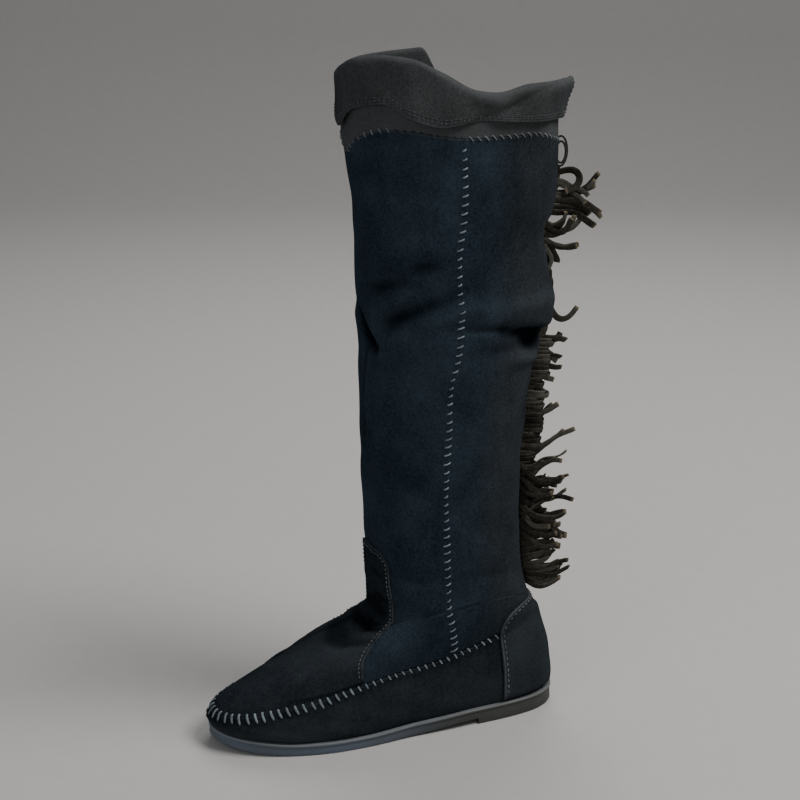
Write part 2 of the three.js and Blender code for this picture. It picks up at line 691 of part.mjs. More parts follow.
// Back line of the leg at a height, a distance behind its skin.
const behind = (height, off) => skin(levelOf(height), Math.PI).add(new THREE.Vector3(0, off, 0));

function fringePath(height, seed, reach) {
  const [a, b, c] = [scatter(seed), scatter(seed + 40), scatter(seed + 80)];
  const length = STRIP_LENGTH * reach * (0.75 + 0.4 * a);
  const root = behind(height, FRINGE_STEM * 0.45);
  return [0, 0.3, 0.65, 1].map((k) => {
    const [sideways, upright] = [b - 0.5, c - 0.62].map((v) => v * STRIP_SPREAD * k ** 1.6);
    const curl = [6 * k + 9 * c, 5 * k + 7 * a].map((v) => Math.sin(v) * STRIP_CURL * k);
    const back = length * k * (0.95 - 0.3 * k * c);
    return root.clone().add(new THREE.Vector3(sideways + curl[0], back, upright + curl[1]));
  });
}

// Fringe: a stem sewn into the back seam with strips fused on.
function fringeGeometry() {
  const [low, high] = [FRINGE[0][0], FRINGE.at(-1)[1]].map((k) => k * SHAFT_HEIGHT);
  const rows = legLevels(AT_BACK).map((level) => mix(INSTEP_HEIGHT, LEG_HEIGHT, level - 2));
  const apart = STEM_THICK;
  const heights = [low, ...rows.filter((z) => z > low + apart && z < high - apart), high];
  const spine = heights.map((height) => [STEM_THICK / 2, -STEM_THICK / 2].map((x) => [
    behind(height, GAP + FRINGE_STEM).setX(x), behind(height, GAP + 0.1).setX(x)]));
  const paths = FRINGE.flatMap(([from, to, strips, reach], group) => (
    Array.from({ length: strips }, (_, i) => {
      const height = mix(from, to, (i + 0.5) / strips) * SHAFT_HEIGHT;
      return fringePath(height, group * 20 + i + 1, reach);
    })));
  const parts = [stem(spine), ...paths.map((path) => strip(path, STRIP_WIDE, STRIP_THICK))];
  return fromSolid(parts.map(toSolid).reduce((whole, part) => whole.add(part)));
}

// Upright plate through sections of four corners, from the bottom up.
function stem(sections) {
  const points = sections.flatMap(([right, left]) => [right[0], right[1], left[1], left[0]]);
  const faces = [];
  for (let k = 0; k < sections.length - 1; k += 1) {
    for (let c = 0; c < 4; c += 1) {
      const [a, b] = [k * 4 + c, k * 4 + (c + 1) % 4];
      faces.push([a, a + 4, b + 4], [a, b + 4, b]);
    }
  }
  const last = (sections.length - 1) * 4;
  faces.push([0, 1, 2], [0, 2, 3], [last, last + 2, last + 1], [last, last + 3, last + 2]);
  return toGeometry(points, faces);
}

function node(name, geometry, color, roughness = 0.95) {
  const material = new THREE.MeshStandardMaterial({ color, roughness, metalness: 0 });
  geometry.computeVertexNormals();
  const mesh = new THREE.Mesh(geometry, material);
  mesh.name = name;
  return mesh;
}

const boot = new THREE.Group();
boot.name = 'moccasin_boot';
boot.add(
  node('outsole', outsoleGeometry(), COLOURS.rubber, 0.7),
  node('insole', insoleGeometry(), COLOURS.sock),
  node('upper', upperGeometry(), COLOURS.leather),
  node('shaft_front', shaftFrontGeometry(), COLOURS.leather),
  node('shaft_back', shaftBackGeometry(), COLOURS.leather),
  node('heel_counter', counterGeometry(), COLOURS.leather),
  node('cuff', cuffGeometry(), COLOURS.cuff),
  node('fringe', fringeGeometry(), COLOURS.fringe),
);

export default boot;
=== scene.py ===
"""Tall suede moccasin boot for the left foot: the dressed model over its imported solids.

Metres, +Z up, toe towards -Y, lateral side towards +X, origin under the middle of the heel.
"""
import math

import bmesh
import bpy
import mathutils
import numpy as np
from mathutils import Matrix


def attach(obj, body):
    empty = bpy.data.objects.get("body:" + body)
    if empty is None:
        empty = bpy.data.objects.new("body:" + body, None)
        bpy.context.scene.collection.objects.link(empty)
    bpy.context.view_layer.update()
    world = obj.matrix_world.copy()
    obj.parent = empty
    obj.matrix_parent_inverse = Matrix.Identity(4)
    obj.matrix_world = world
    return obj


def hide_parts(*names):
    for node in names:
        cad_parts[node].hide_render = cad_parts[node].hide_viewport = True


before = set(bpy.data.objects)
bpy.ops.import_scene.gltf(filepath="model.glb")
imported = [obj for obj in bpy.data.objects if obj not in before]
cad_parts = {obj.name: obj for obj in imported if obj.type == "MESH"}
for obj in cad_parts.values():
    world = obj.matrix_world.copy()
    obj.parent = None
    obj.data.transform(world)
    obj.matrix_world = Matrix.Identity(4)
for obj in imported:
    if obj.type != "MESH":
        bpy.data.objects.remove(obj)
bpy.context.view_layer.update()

bl_info = {
    "name": "Moccasin boot",
    "version": (1, 0, 0),
    "blender": (4, 5, 0),
    "location": "3D View > Sidebar > Boot",
    "description": "Dresses a tall suede moccasin boot: leather, lacing, stitching and fringe",
    "category": "Add Mesh",
}

DEG = math.pi / 180
SHARP = 50 * DEG  # a bend above this is shaded as an edge

# Sole outline. at: share of length from the heel; widths are shares of ball width.
OUTLINE = np.array([
    # at, lateral, medial, centre
    [0.00, 0.620, 0.620, 0.000],
    [0.08, 0.545, 0.545, 0.000],
    [0.18, 0.468, 0.465, 0.000],
    [0.30, 0.425, 0.405, 0.000],
    [0.45, 0.418, 0.365, -0.010],
    [0.60, 0.480, 0.450, -0.030],
    [0.70, 0.530, 0.525, -0.045],
    [0.82, 0.585, 0.555, -0.075],
    [0.92, 0.640, 0.580, -0.100],
    [1.00, 0.680, 0.600, -0.110],
])

# Height of the sole's top. at: share of length; top: share of the heel's thickness.
SOLE_TOP = np.array([
    [0.00, 1.00], [0.10, 1.00], [0.28, 0.98], [0.45, 0.82],
    [0.62, 0.67], [0.78, 0.68], [0.90, 0.84], [1.00, 1.06],
])

# Side of the sole from its top edge down. inset: share of the lip; drop: share of the heel.
SOLE_SIDE = np.array([
    # inset, drop
    [3.60, 0.000], [2.40, 0.004], [1.30, -0.010], [0.60, -0.012], [0.15, 0.020], [0.00, 0.055],
    [0.00, 0.130], [0.25, 0.165], [0.85, 0.180], [1.00, 0.210], [0.95, 0.260], [0.80, 0.400],
])

# Underside of the arch. at: share of the way from heel step to forefoot; rise: share of the heel.
ARCH = np.array([[0.00, 0.33], [0.18, 0.29], [0.45, 0.15], [0.75, 0.04], [1.00, 0.00]])

# Moccasin seam. height: share of wall height; inset and medial: shares of ball width.
MOC_SEAM = np.array([
    # at, height, inset, medial
    [0.00, 1.000, 0.110, 0.000],
    [0.12, 0.913, 0.082, 0.000],
    [0.25, 0.807, 0.062, 0.000],
    [0.40, 0.700, 0.051, 0.000],
    [0.55, 0.640, 0.050, 0.005],
    [0.65, 0.587, 0.044, 0.012],
    [0.75, 0.507, 0.032, 0.024],
    [0.85, 0.447, 0.010, 0.030],
    [0.93, 0.380, -0.004, 0.020],
    [1.00, 0.333, -0.010, 0.000],
])

# Rings of the leg. height: share of leg height; front, back: shares of leg depth; side: of width.
LEG = np.array([
    # height, front, back, side
    [0.179, 0.908, 0.142, 0.397],
    [0.217, 0.909, 0.174, 0.402],
    [0.250, 0.916, 0.184, 0.408],
    [0.312, 0.930, 0.197, 0.413],
    [0.396, 0.948, 0.200, 0.429],
    [0.490, 0.961, 0.168, 0.451],
    [0.558, 0.968, 0.148, 0.473],
    [0.592, 0.968, 0.090, 0.489],
    [0.625, 0.974, 0.065, 0.500],
    [0.667, 0.977, 0.061, 0.505],
    [0.719, 0.981, 0.090, 0.505],
    [0.750, 0.981, 0.103, 0.505],
    [0.792, 0.987, 0.061, 0.505],
    [0.842, 1.006, 0.039, 0.505],
    [0.881, 1.026, 0.039, 0.503],
    [0.908, 1.042, 0.045, 0.500],
    [0.948, 1.042, 0.052, 0.495],
    [1.000, 1.042, 0.058, 0.489],
])

# Folds of the slack leg. height, tall: shares of leg height; angle, wide: degrees from the front;
# slope: height gained per degree; depth: share of leg width, outwards.
FOLDS = np.array([
    # height, angle, tall, wide, slope, depth
    [0.596, 128, 0.016, 34, 0.00010, -0.046],
    [0.630, 140, 0.026, 36, 0.00000, 0.024],
    [0.640, 62, 0.016, 30, 0.00042, -0.026],
    [0.700, 60, 0.020, 34, 0.00040, -0.017],
    [0.640, 14, 0.020, 16, -0.00090, -0.033],
    [0.610, -120, 0.018, 40, -0.00010, -0.035],
    [0.680, -60, 0.020, 34, -0.00030, -0.022],
    [0.215, 20, 0.014, 30, -0.00030, -0.015],
])

# Creases of the leg, each along a line on its unrolled surface. Angles are in degrees from the
# front, heights in shares of leg height, wide and deep in shares of leg width, outwards.
CREASES = np.array([
    # angle, height, to angle, to height, wide, deep
    [98, 0.660, 164, 0.662, 0.085, 0.046],
    [84, 0.634, 108, 0.631, 0.030, -0.028],
    [106, 0.626, 150, 0.603, 0.060, -0.078],
    [124, 0.602, 152, 0.588, 0.055, -0.060],
    [142, 0.606, 176, 0.598, 0.042, -0.050],
    [112, 0.584, 160, 0.570, 0.055, 0.026],
    [28, 0.636, 60, 0.668, 0.070, -0.044],
    [58, 0.666, 84, 0.692, 0.066, -0.028],
    [46, 0.634, 86, 0.664, 0.070, 0.030],
    [23, 0.662, 48, 0.685, 0.050, 0.018],
    [14, 0.690, 46, 0.705, 0.055, -0.036],
    [44, 0.720, 72, 0.733, 0.060, -0.030],
    [30, 0.750, 60, 0.762, 0.090, 0.016],
    [-14, 0.660, 2, 0.632, 0.036, -0.060],
    [-2, 0.636, 20, 0.604, 0.044, -0.086],
    [14, 0.642, 34, 0.622, 0.060, 0.024],
    [9, 0.602, 5, 0.530, 0.022, -0.066],
    [5, 0.530, 1, 0.452, 0.018, -0.056],
    [12, 0.590, 8, 0.470, 0.050, 0.016],
    [92, 0.800, 150, 0.760, 0.160, -0.016],
    [40, 0.850, 84, 0.830, 0.150, -0.014],
    [128, 0.520, 160, 0.470, 0.110, -0.016],
    [60, 0.560, 96, 0.470, 0.130, -0.014],
    [30, 0.420, 70, 0.380, 0.120, -0.012],
    [100, 0.330, 150, 0.300, 0.120, -0.014],
    [35, 0.262, 70, 0.240, 0.060, -0.014],
    [80, 0.240, 130, 0.225, 0.080, -0.012],
    [-60, 0.640, -20, 0.610, 0.060, -0.034],
    [-66, 0.668, -24, 0.642, 0.080, 0.022],
    [-150, 0.612, -95, 0.596, 0.070, -0.036],
    [-150, 0.642, -100, 0.632, 0.090, 0.032],
    [-110, 0.690, -70, 0.700, 0.080, -0.020],
    [-30, 0.430, -28, 0.570, 0.030, -0.024],
    [-130, 0.500, -90, 0.440, 0.120, -0.014],
    [-140, 0.800, -80, 0.770, 0.150, -0.014],
])

# Wrinkles of the vamp and its tab, on its own levels. Angles in degrees from the toe.
WRINKLES = np.array([
    # angle, level, to angle, to level, wide in levels, deep as a share of leg width
    [0, 1.945, 46, 1.885, 0.022, -0.024],
    [0, 1.900, 40, 1.835, 0.030, 0.012],
    [6, 2.052, 40, 2.046, 0.007, -0.016],
    [4, 2.062, 40, 2.058, 0.007, 0.016],
    [0, 2.034, 36, 2.020, 0.009, -0.022],
    [8, 2.008, 46, 1.985, 0.012, 0.022],
    [0, 1.985, 38, 1.966, 0.012, -0.020],
    [-6, 2.080, 34, 2.072, 0.008, 0.014],
    [2, 2.094, 34, 2.088, 0.006, -0.014],
    [4, 2.106, 30, 2.104, 0.007, 0.010],
    [-46, 1.885, 0, 1.945, 0.022, -0.022],
    [-36, 2.020, 0, 2.034, 0.009, -0.018],
    [-46, 1.985, -8, 2.008, 0.014, 0.014],
    [-34, 2.072, 0, 2.080, 0.008, 0.010],
    [12, 1.780, 52, 1.690, 0.060, -0.010],
    [20, 1.700, 56, 1.600, 0.050, 0.007],
    [-52, 1.690, -12, 1.780, 0.060, -0.008],
    [-12, 1.600, 20, 1.560, 0.080, 0.008],
])

# Column anchors round the boot, degrees from the toe.
ANCHORS = np.array([
    # level, tab edge, side seam
    [1.00, 77.6, 108.7],
    [1.25, 69.0, 106.4],
    [1.50, 61.5, 102.6],
    [1.75, 56.5, 98.5],
    [2.00, 52.5, 94.8],
    [2.06, 50.5, 96.0],
    [2.15, 46.0, 97.0],
    [2.60, 46.0, 99.0],
    [3.00, 46.0, 104.0],
])

# Edges of the collar. angle: degrees from the front; seam: share of shaft height; hem, crest:
# shares of leg height; lean: share of leg depth by which the crest stands outwards.
COLLAR = np.array([
    # angle, seam, hem, crest, lean
    [-180, 0.972, 0.923, 0.966, 0.026],
    [-150, 0.984, 0.920, 0.955, 0.019],
    [-130, 0.988, 0.914, 0.942, 0.013],
    [-110, 0.990, 0.914, 0.952, 0.013],
    [-98, 0.994, 0.918, 0.976, 0.010],
    [-88, 1.000, 0.928, 1.016, 0.006],
    [-82, 1.002, 0.932, 1.015, 0.006],
    [-50, 1.008, 0.946, 1.010, 0.000],
    [-20, 1.000, 0.946, 0.999, 0.000],
    [0, 0.978, 0.923, 1.008, 0.000],
    [20, 1.000, 0.951, 1.020, 0.000],
    [42, 1.016, 0.959, 1.025, 0.000],
    [56, 1.013, 0.940, 1.021, 0.003],
    [72, 1.005, 0.927, 1.002, 0.008],
    [90, 1.000, 0.934, 0.976, 0.016],
    [101, 1.000, 0.932, 0.972, 0.018],
    [120, 1.000, 0.928, 0.981, 0.023],
    [150, 0.984, 0.925, 0.981, 0.029],
    [165, 0.976, 0.923, 0.979, 0.048],
    [180, 0.968, 0.922, 0.978, 0.090],
])

# Section of the cuff's turned edge. out: share of the way from band to flap; drop: of its height.
CUFF_EDGE = np.array([[0.00, 1.00], [0.18, 0.35], [0.52, 0.15], [0.90, 0.47], [1.00, 1.18]])

# Fringe groups. from, to: shares of shaft height; strips; reach: share of strip length; rise, side:
# degrees of a strip's start above level and towards the lateral side; bend, curl: degrees that it
# turns up and sideways by its tip; loose: degrees of scatter.
FRINGE = np.array([
    # from, to, strips, reach, rise, bend, side, curl, loose
    [0.205, 0.212, 3, 0.62, -34, 60, 12, -20, 8],
    [0.208, 0.240, 7, 0.80, -8, 10, 12, -30, 9],
    [0.236, 0.305, 12, 0.84, 10, -40, 18, -70, 10],
    [0.250, 0.320, 5, 0.80, 20, -24, 6, 0, 18],
    [0.300, 0.400, 14, 0.76, 0, -20, 22, -110, 16],
    [0.300, 0.430, 9, 0.96, -4, -4, 4, -6, 38],
    [0.310, 0.440, 8, 0.84, -56, 60, 36, -40, 16],
    [0.300, 0.410, 7, 0.84, 54, -60, 32, -40, 16],
    [0.400, 0.530, 20, 0.66, 0, -10, 24, -160, 7],
    [0.432, 0.446, 3, 1.02, 20, 10, 4, 0, 16],
    [0.470, 0.500, 2, 0.74, 40, -6, 4, 0, 16],
    [0.530, 0.650, 18, 0.62, 0, -16, 24, -150, 8],
    [0.575, 0.645, 5, 0.58, 2, -24, 8, -10, 26],
    [0.700, 0.706, 1, 0.70, -62, 92, 0, 0, 2],
    [0.806, 0.812, 2, 0.55, -46, -60, 10, -20, 18],
    [0.812, 0.820, 2, 0.74, -34, 34, 4, 6, 8],
    [0.820, 0.826, 2, 0.80, -8, 60, 2, 0, 10],
    [0.832, 0.844, 3, 0.62, -30, 80, 8, -24, 22],
    [0.856, 0.868, 3, 0.84, -4, -40, 4, 0, 12],
    [0.872, 0.878, 2, 0.96, 2, -30, 4, 4, 8],
    [0.880, 0.890, 3, 0.98, -6, 40, 2, -4, 8],
    [0.902, 0.912, 2, 0.76, -24, -16, 10, -12, 16],
    [0.918, 0.922, 1, 0.86, 14, -140, 5, 0, 3],
])

# Columns round the boot, counted from the toe to both sides.
AT_TAB, AT_SEAM, AT_COUNTER, AT_BACK = 8, 13, 16, 24
TAB_OVERLAP = 2  # columns of the leg's front panel under the tab
COUNTER_HALF = AT_BACK - AT_COUNTER

# Levels, counted as in Last.skin.
WALL_ROWS = [0, 0.15, 0.32, 0.5, 0.68, 0.84]
VAMP_ROWS = [1.13, 1.26, 1.5, 1.75, 1.92, 2]
COUNTER_FOOT, COUNTER_FRONT = 0.06, 0.86
COLLAR_LEVEL = 2.9

# Metres from one column to the next, and metres of the cuff's flap to one of its section.
SEAM_COLUMN, COUNTER_COLUMN, CUFF_COLUMN, FLAP_STEP = 0.0062, 0.0055, 0.0085, 0.0105

COUNTER_GAP = 0.00045  # metres between the counter and the leather under it
STEM_TOP = 0.930  # top of the fringe's stem, as a share of shaft height


def length(name, default, description):
    """A size in metres for the panel."""
    return bpy.props.FloatProperty(
        name=name, default=default, description=description, unit="LENGTH", min=0.0, precision=4)


def colour(name, default, description):
    """A colour for the panel."""
    return bpy.props.FloatVectorProperty(
        name=name, default=default, description=description, subtype="COLOR", size=3, min=0, max=1)


class BootSizes(bpy.types.PropertyGroup):
    """Sizes of the boot, in metres."""

    sole_length: length("Sole length", 0.265, "Heel to toe along the outsole")
    ball_width: length("Ball width", 0.0925, "Across the sole at the ball of the foot")
    heel_thick: length("Heel thickness", 0.0126, "Sole under the heel")
    heel_centre: length("Heel centre", 0.036, "Back of the sole to the middle of the heel tread")
    heel_tread: length("Heel tread", 0.072, "Back of the sole to the heel's front step")
    flat_from: length("Forefoot flat from", 0.158, "Back of the sole to the forefoot's flat spot")
    flat_to: length("Forefoot flat to", 0.208, "Back of the sole to the end of that flat spot")
    toe_spring: length("Toe spring", 0.0055, "Rise of the sole at the toe")
    sole_lip: length("Sole lip", 0.0008, "How far the lip of the sole stands out")
    tread_bevel: length("Tread bevel", 0.0011, "Bevel round the edge of the tread")
    feather_inset: length("Feather inset", 0.0032, "Foot of the upper inside the sole's edge")
    wall_height: length("Wall height", 0.075, "Floor to the moccasin seam at the heel")
    wall_bulge: length("Wall bulge", 0.0046, "How far the wall swells over the sole")
    instep_height: length("Instep height", 0.086, "Floor to the narrowest part of the ankle")
    ankle_tilt: length("Ankle tilt", 0.005, "Ankle ring lower in front and higher behind")
    ankle_side: length("Ankle side", 0.013, "Ankle ring higher at the sides")
    leg_height: length("Leg height", 0.480, "Height that the leg's shares refer to")
    leg_depth: length("Leg depth", 0.155, "Front to back at the collar")
    leg_width: length("Leg width", 0.092, "Side to side at the collar")
    shaft_height: length("Shaft height", 0.436, "Floor to the whipped seam under the cuff")
    leather: length("Leather", 0.0016, "Thickness of the suede")
    gap: length("Gap", 0.0003, "Space between pieces that are sewn together")
    tab_height: length("Tab height", 0.140, "Floor to the top of the vamp's tab")
    tab_corner: length("Tab corner", 0.013, "Rounding of the tab's top corners")
    counter_height: length("Counter height", 0.087, "Floor to the top of the heel counter")
    cuff_fall: length("Cuff fall", 0.0034, "How far the cuff's flap hangs off the leg")
    cuff_turn: length("Cuff turn", 0.0055, "Height of the cuff's turned edge")
    sock_thick: length("Sock thickness", 0.0024, "Thickness of the insole")
    stem: length("Fringe stem", 0.006, "Uncut part of the fringe behind the back seam")
    strip_wide: length("Strip width", 0.0044, "Width of a fringe strip")
    strip_thick: length("Strip thickness", 0.0014, "Thickness of a fringe strip")
    strip_length: length("Strip length", 0.046, "Length of a fringe strip")
    lace_wide: length("Lace width", 0.0017, "Width of the whipping lace")
    lace_pitch: length("Lace pitch", 0.0060, "Step from one whipstitch to the next")
    thread: length("Thread", 0.0006, "Thickness of the topstitching thread")


class BootColours(bpy.types.PropertyGroup):
    """Colours of the boot, in linear light."""

    suede: colour("Suede", (0.0066, 0.0116, 0.0178), "Leg panels")
    # The brushed colours also carry painted light where the rub mark paints the toe's wall and the
    # cuff's band paler.
    suede_pale: colour("Brushed suede", (0.0330, 0.0500, 0.0680), "Where the leg is rubbed")
    foot: colour("Foot suede", (0.0070, 0.0095, 0.0125), "Wall, vamp and counter")
    foot_pale: colour("Brushed foot suede", (0.0310, 0.0365, 0.0420), "Where the foot is rubbed")
    cuff: colour("Cuff", (0.0225, 0.0230, 0.0235), "Cuff and its band")
    cuff_pale: colour("Brushed cuff", (0.0720, 0.0750, 0.0770), "Where the cuff is rubbed")
    fringe: colour("Fringe", (0.0200, 0.0190, 0.0150), "Fringe strips")
    fringe_pale: colour("Brushed fringe", (0.1000, 0.0950, 0.0800), "Where a strip is rubbed")
    edge: colour("Cut edge", (0.080, 0.088, 0.094), "Cut edges of the leather")
    lace: colour("Lace", (0.250, 0.300, 0.340), "Whipping lace")
    thread: colour("Thread", (0.190, 0.210, 0.225), "Topstitching")
    # Painted shade: the dark inside of the awl holes.
    hole: colour("Hole", (0.002, 0.002, 0.003), "Awl holes without a lace")
    rubber: colour("Rubber", (0.040, 0.042, 0.040), "Heel of the outsole")
    # Painted light: the forefoot's side of the sole is painted paler.
    rubber_toe: colour("Rubber at the toe", (0.093, 0.115, 0.150), "Rubbed side of the forefoot")
    # Partly wear and partly a painted highlight along the sole's lip.
    rubber_lip: colour("Rubber lip", (0.190, 0.200, 0.205), "Rubbed lip of the outsole")
    sock: colour("Sock", (0.045, 0.036, 0.028), "Insole")
    floor: colour("Floor", (0.52, 0.505, 0.485), "Studio floor")


def soft(k):
    """Smooth step from 0 to 1: 3k squared less 2k cubed."""
    c = np.clip(k, 0, 1)
    return c * c * (3 - 2 * c)


def mix(a, b, k):
    """Straight line from a to b."""
    return a + (b - a) * k


def hump(distance, wide):
    """1 on a line, 0 away from it: e to the minus square of distance over width."""
    return np.exp(-(distance / wide) ** 2)


def share_of(angle):
    """Share of the sole's length at an angle round it: (1 + cosine) / 2."""
    return (1 + np.cos(angle)) / 2


def unit(v):
    """Vectors at length one."""
    return v / np.maximum(np.linalg.norm(v, axis=-1, keepdims=True), 1e-12)


def pick(table, column, at):
    """Monotone cubic through one column: Hermite pieces whose slopes are harmonic means."""
    x, y = table[:, 0], table[:, column]
    rate = np.diff(y) / np.diff(x)
    p, q = rate[:-1], rate[1:]
    total = np.where(np.abs(p + q) < 1e-12, 1.0, p + q)
    inner = np.where(p * q > 0, 2 * p * q / total, 0.0)
    slope = np.concatenate([rate[:1], inner, rate[-1:]])
    at = np.clip(at, x[0], x[-1])
    k = np.clip(np.searchsorted(x, at, side="left") - 1, 0, len(x) - 2)
    h = x[k + 1] - x[k]
    t = (at - x[k]) / h
    a, b, ma, mb = y[k], y[k + 1], slope[k] * h, slope[k + 1] * h
    return a + t * (ma + t * (3 * (b - a) - 2 * ma - mb + t * (2 * (a - b) + ma + mb)))


def refine(values, steps):
    """Each interval of a list cut into equal steps."""
    values = np.asarray(values, float)
    at = np.arange((len(values) - 1) * steps + 1) / steps
    return np.interp(at, np.arange(len(values)), values)


def scatter(seed):
    """A number from 0 to 1 for each seed, from the fraction of a scaled sine."""
    v = np.sin(np.asarray(seed) * 12.9898) * 43758.5453
    return v - np.floor(v)


def arc_of(line):
    """Arc length from a line's first point to each: the running sum of its steps."""
    run = np.linalg.norm(np.diff(line, axis=0), axis=-1)
    return np.concatenate([[0], np.cumsum(run)])


def turn(angle):
    """Angle round the leg for one round the foot: the front is drawn together."""
    return angle - 0.35 * np.sin(angle)


def on_line(table, x, y, wide_x=1.0):
    """Sum of soft troughs: depth times e to the minus square of the distance from each line.

    Table columns are x, y, to x, to y, wide, deep; x counts wide_x times in distances."""
    total = np.zeros(np.broadcast(x, y).shape)
    for x0, y0, x1, y1, wide, deep in table:
        run = np.array([(x1 - x0) * wide_x, y1 - y0])
        away = np.stack(np.broadcast_arrays(((x - x0 + 180) % 360 - 180) * wide_x, y - y0), -1)
        t = np.clip((away @ run) / max(run @ run, 1e-12), 0, 1)
        gone = np.linalg.norm(away - t[..., None] * run, axis=-1) / wide
        fade = 0.35 + 0.65 * np.sin(math.pi * np.clip(t, 0.08, 0.92))
        total += deep * fade * np.exp(-gone ** 2)
    return total


class Last:
    """The boot's surface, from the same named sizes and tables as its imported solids."""

    def __init__(self, sizes):
        """Copies every size of the panel; lap is the lift of leather laid over leather."""
        for name in BootSizes.__annotations__:
            setattr(self, name, getattr(sizes, name))
        self.lap = self.gap + self.leather

    def place(self, x, f, z):
        """Point at x, distance f from the back of the sole, height z."""
        return np.stack(np.broadcast_arrays(x, self.heel_centre - f, z), -1)

    def outline(self, angle):
        """Sole outline: half width times the sine of the angle, length share (1 + cosine) / 2."""
        u, s = share_of(angle), np.sin(angle)
        half = np.where(s >= 0, pick(OUTLINE, 1, u), pick(OUTLINE, 2, u))
        return (half * s + pick(OUTLINE, 3, u)) * self.ball_width, u * self.sole_length

    def plan(self, angle, inset):
        """The outline moved inwards along its own normal."""
        x, f = self.outline(angle)
        x0, f0 = self.outline(angle - 0.002)
        x1, f1 = self.outline(angle + 0.002)
        n = np.hypot(x1 - x0, f1 - f0)
        return x + (f1 - f0) / n * inset, f - (x1 - x0) / n * inset

    def sole_top(self, u):
        """Height of the sole's top at a share of its length."""
        return self.heel_thick * pick(SOLE_TOP, 1, u)

    def sole_bottom(self, f):
        """Underside: flat heel, step, arch, flat forefoot and a parabola for the toe spring."""
        arch = pick(ARCH, 1, (f - self.heel_tread) / (self.flat_from - self.heel_tread))
        k = (f - self.flat_to) / (self.sole_length - self.flat_to)
        low = np.where(f <= self.heel_tread, 0.0, arch * self.heel_thick)
        return np.where(f > self.flat_to, self.toe_spring * k * k, low)

    def ring(self, height, phi):
        """Leg section: a squarer oval near the ankle's front, pushed in and out by the folds."""
        share = height / self.leg_height
        front = pick(LEG, 1, share) * self.leg_depth
        back = pick(LEG, 2, share) * self.leg_depth
        side = pick(LEG, 3, share) * self.leg_width
        c, s = np.cos(phi), np.sin(phi)
        flat = soft(c * 2) * (1 - soft((height - self.instep_height) / (self.leg_height * 0.4)))
        power = 2.25 + 1.2 * flat
        r = (np.abs(c) ** power + np.abs(s) ** power) ** (-1 / power)
        push = 0.0
        for high, angle, tall, wide, slope, depth in FOLDS:
            da = (phi / DEG - angle + 180) % 360 - 180
            dz = share - high - slope * da
            push = push + depth * self.leg_width * np.exp(-(dz / tall) ** 2 - (da / wide) ** 2)
        middle = (front + back) / 2 + (front - back) / 2 * c * r
        return side * s * r + s * push, middle + c * push

    def skin(self, level, angle):
        """Outer surface: between two rings, places and heights are mixed by powers of the level.

        Level 0 is the feather line, 1 the moccasin seam, 2 the ankle, 3 the top of the leg."""
        level, angle = np.broadcast_arrays(np.asarray(level, float), np.asarray(angle, float))
        u, phi = share_of(angle), turn(angle)
        medial = np.clip(-np.sin(angle) * 1.2, 0, 1)
        inset = (pick(MOC_SEAM, 2, u) + pick(MOC_SEAM, 3, u) * medial) * self.ball_width
        seam = pick(MOC_SEAM, 1, u) * self.wall_height
        k = np.clip(level, 0, 1)
        bulge = self.wall_bulge * np.sin(math.pi * k ** 0.75) * (0.4 + 0.55 * u)
        x0, f0 = self.plan(angle, self.feather_inset + inset * k ** 1.6 - bulge)
        wall = self.place(x0, f0, mix(self.sole_top(u) + self.gap, seam, k))
        tilt = -self.ankle_tilt * np.cos(phi) + self.ankle_side * np.sin(phi) ** 2
        ankle = self.instep_height + tilt
        k = np.clip(level - 1, 0, 1)
        x1, f1 = self.plan(angle, self.feather_inset + inset)
        x2, f2 = self.ring(np.full_like(level, self.instep_height), phi)
        front = np.clip(np.cos(angle), 0, 1)
        near = 1 - (1 - k) ** (1 + 0.7 * soft(1 - 1.6 * front))
        vamp = self.place(mix(x1, x2, near), mix(f1, f2, near),
                          mix(seam, ankle, k ** (1 - 0.16 * front)))
        height = mix(self.instep_height, self.leg_height, np.maximum(level - 2, 0))
        x3, f3 = self.ring(height, phi)
        leg = self.place(x3, f3, height + tilt * (1 - soft((level - 2) / 0.12)))
        up = level[..., None]
        return np.where(up <= 1, wall, np.where(up <= 2, vamp, leg))

    def normal(self, level, angle):
        """Unit normal: steps round the boot crossed with steps up it."""
        e = 0.01
        up = self.skin(level + e, angle) - self.skin(np.maximum(level - e, 0), angle)
        across = self.skin(level, angle + e) - self.skin(level, angle - e)
        return unit(np.cross(across, up))

    def lifted(self, level, angle, lift):
        """The surface moved out along its normal."""
        lift = np.broadcast_to(lift, np.broadcast(level, angle).shape)
        return self.skin(level, angle) + self.normal(level, angle) * lift[..., None]

    def level_of(self, height):
        """Level of the leg at a height."""
        return 2 + (height - self.instep_height) / (self.leg_height - self.instep_height)

    def column_angle(self, column, level):
        """Angle of a column: even steps between front, tab edge, side seam and back."""
        c = np.abs(column)
        tab, seam = pick(ANCHORS, 1, level), pick(ANCHORS, 2, level)
        first = tab * c / AT_TAB
        second = mix(tab, seam, (c - AT_TAB) / (AT_SEAM - AT_TAB))
        third = mix(seam, 180.0, (c - AT_SEAM) / (AT_BACK - AT_SEAM))
        inner = np.where(c <= AT_TAB, first, np.where(c <= AT_SEAM, second, third))
        return np.sign(column) * inner * DEG

    def collar(self, angle):
        """Heights of seam, hem and crest, and the crest's lean, at an angle round the boot."""
        deg = np.clip(turn(angle) / DEG, -180, 180)
        return (pick(COLLAR, 1, deg) * self.shaft_height, pick(COLLAR, 2, deg) * self.leg_height,
                pick(COLLAR, 3, deg) * self.leg_height, pick(COLLAR, 4, deg) * self.leg_depth)

    def collar_angle(self, column):
        """Angle of a column at the collar."""
        return self.column_angle(column, np.full_like(column, COLLAR_LEVEL))

    def tab_top(self, column):
        """Level of the tab's top, its corner a quarter round over the last columns."""
        rounded = AT_TAB * 0.38
        corner = np.clip((np.abs(column) - AT_TAB + rounded) / rounded, 0, 1)
        drop = self.tab_corner * (1 - np.sqrt(1 - corner ** 2 * 0.98))
        return self.level_of(self.tab_height - drop)

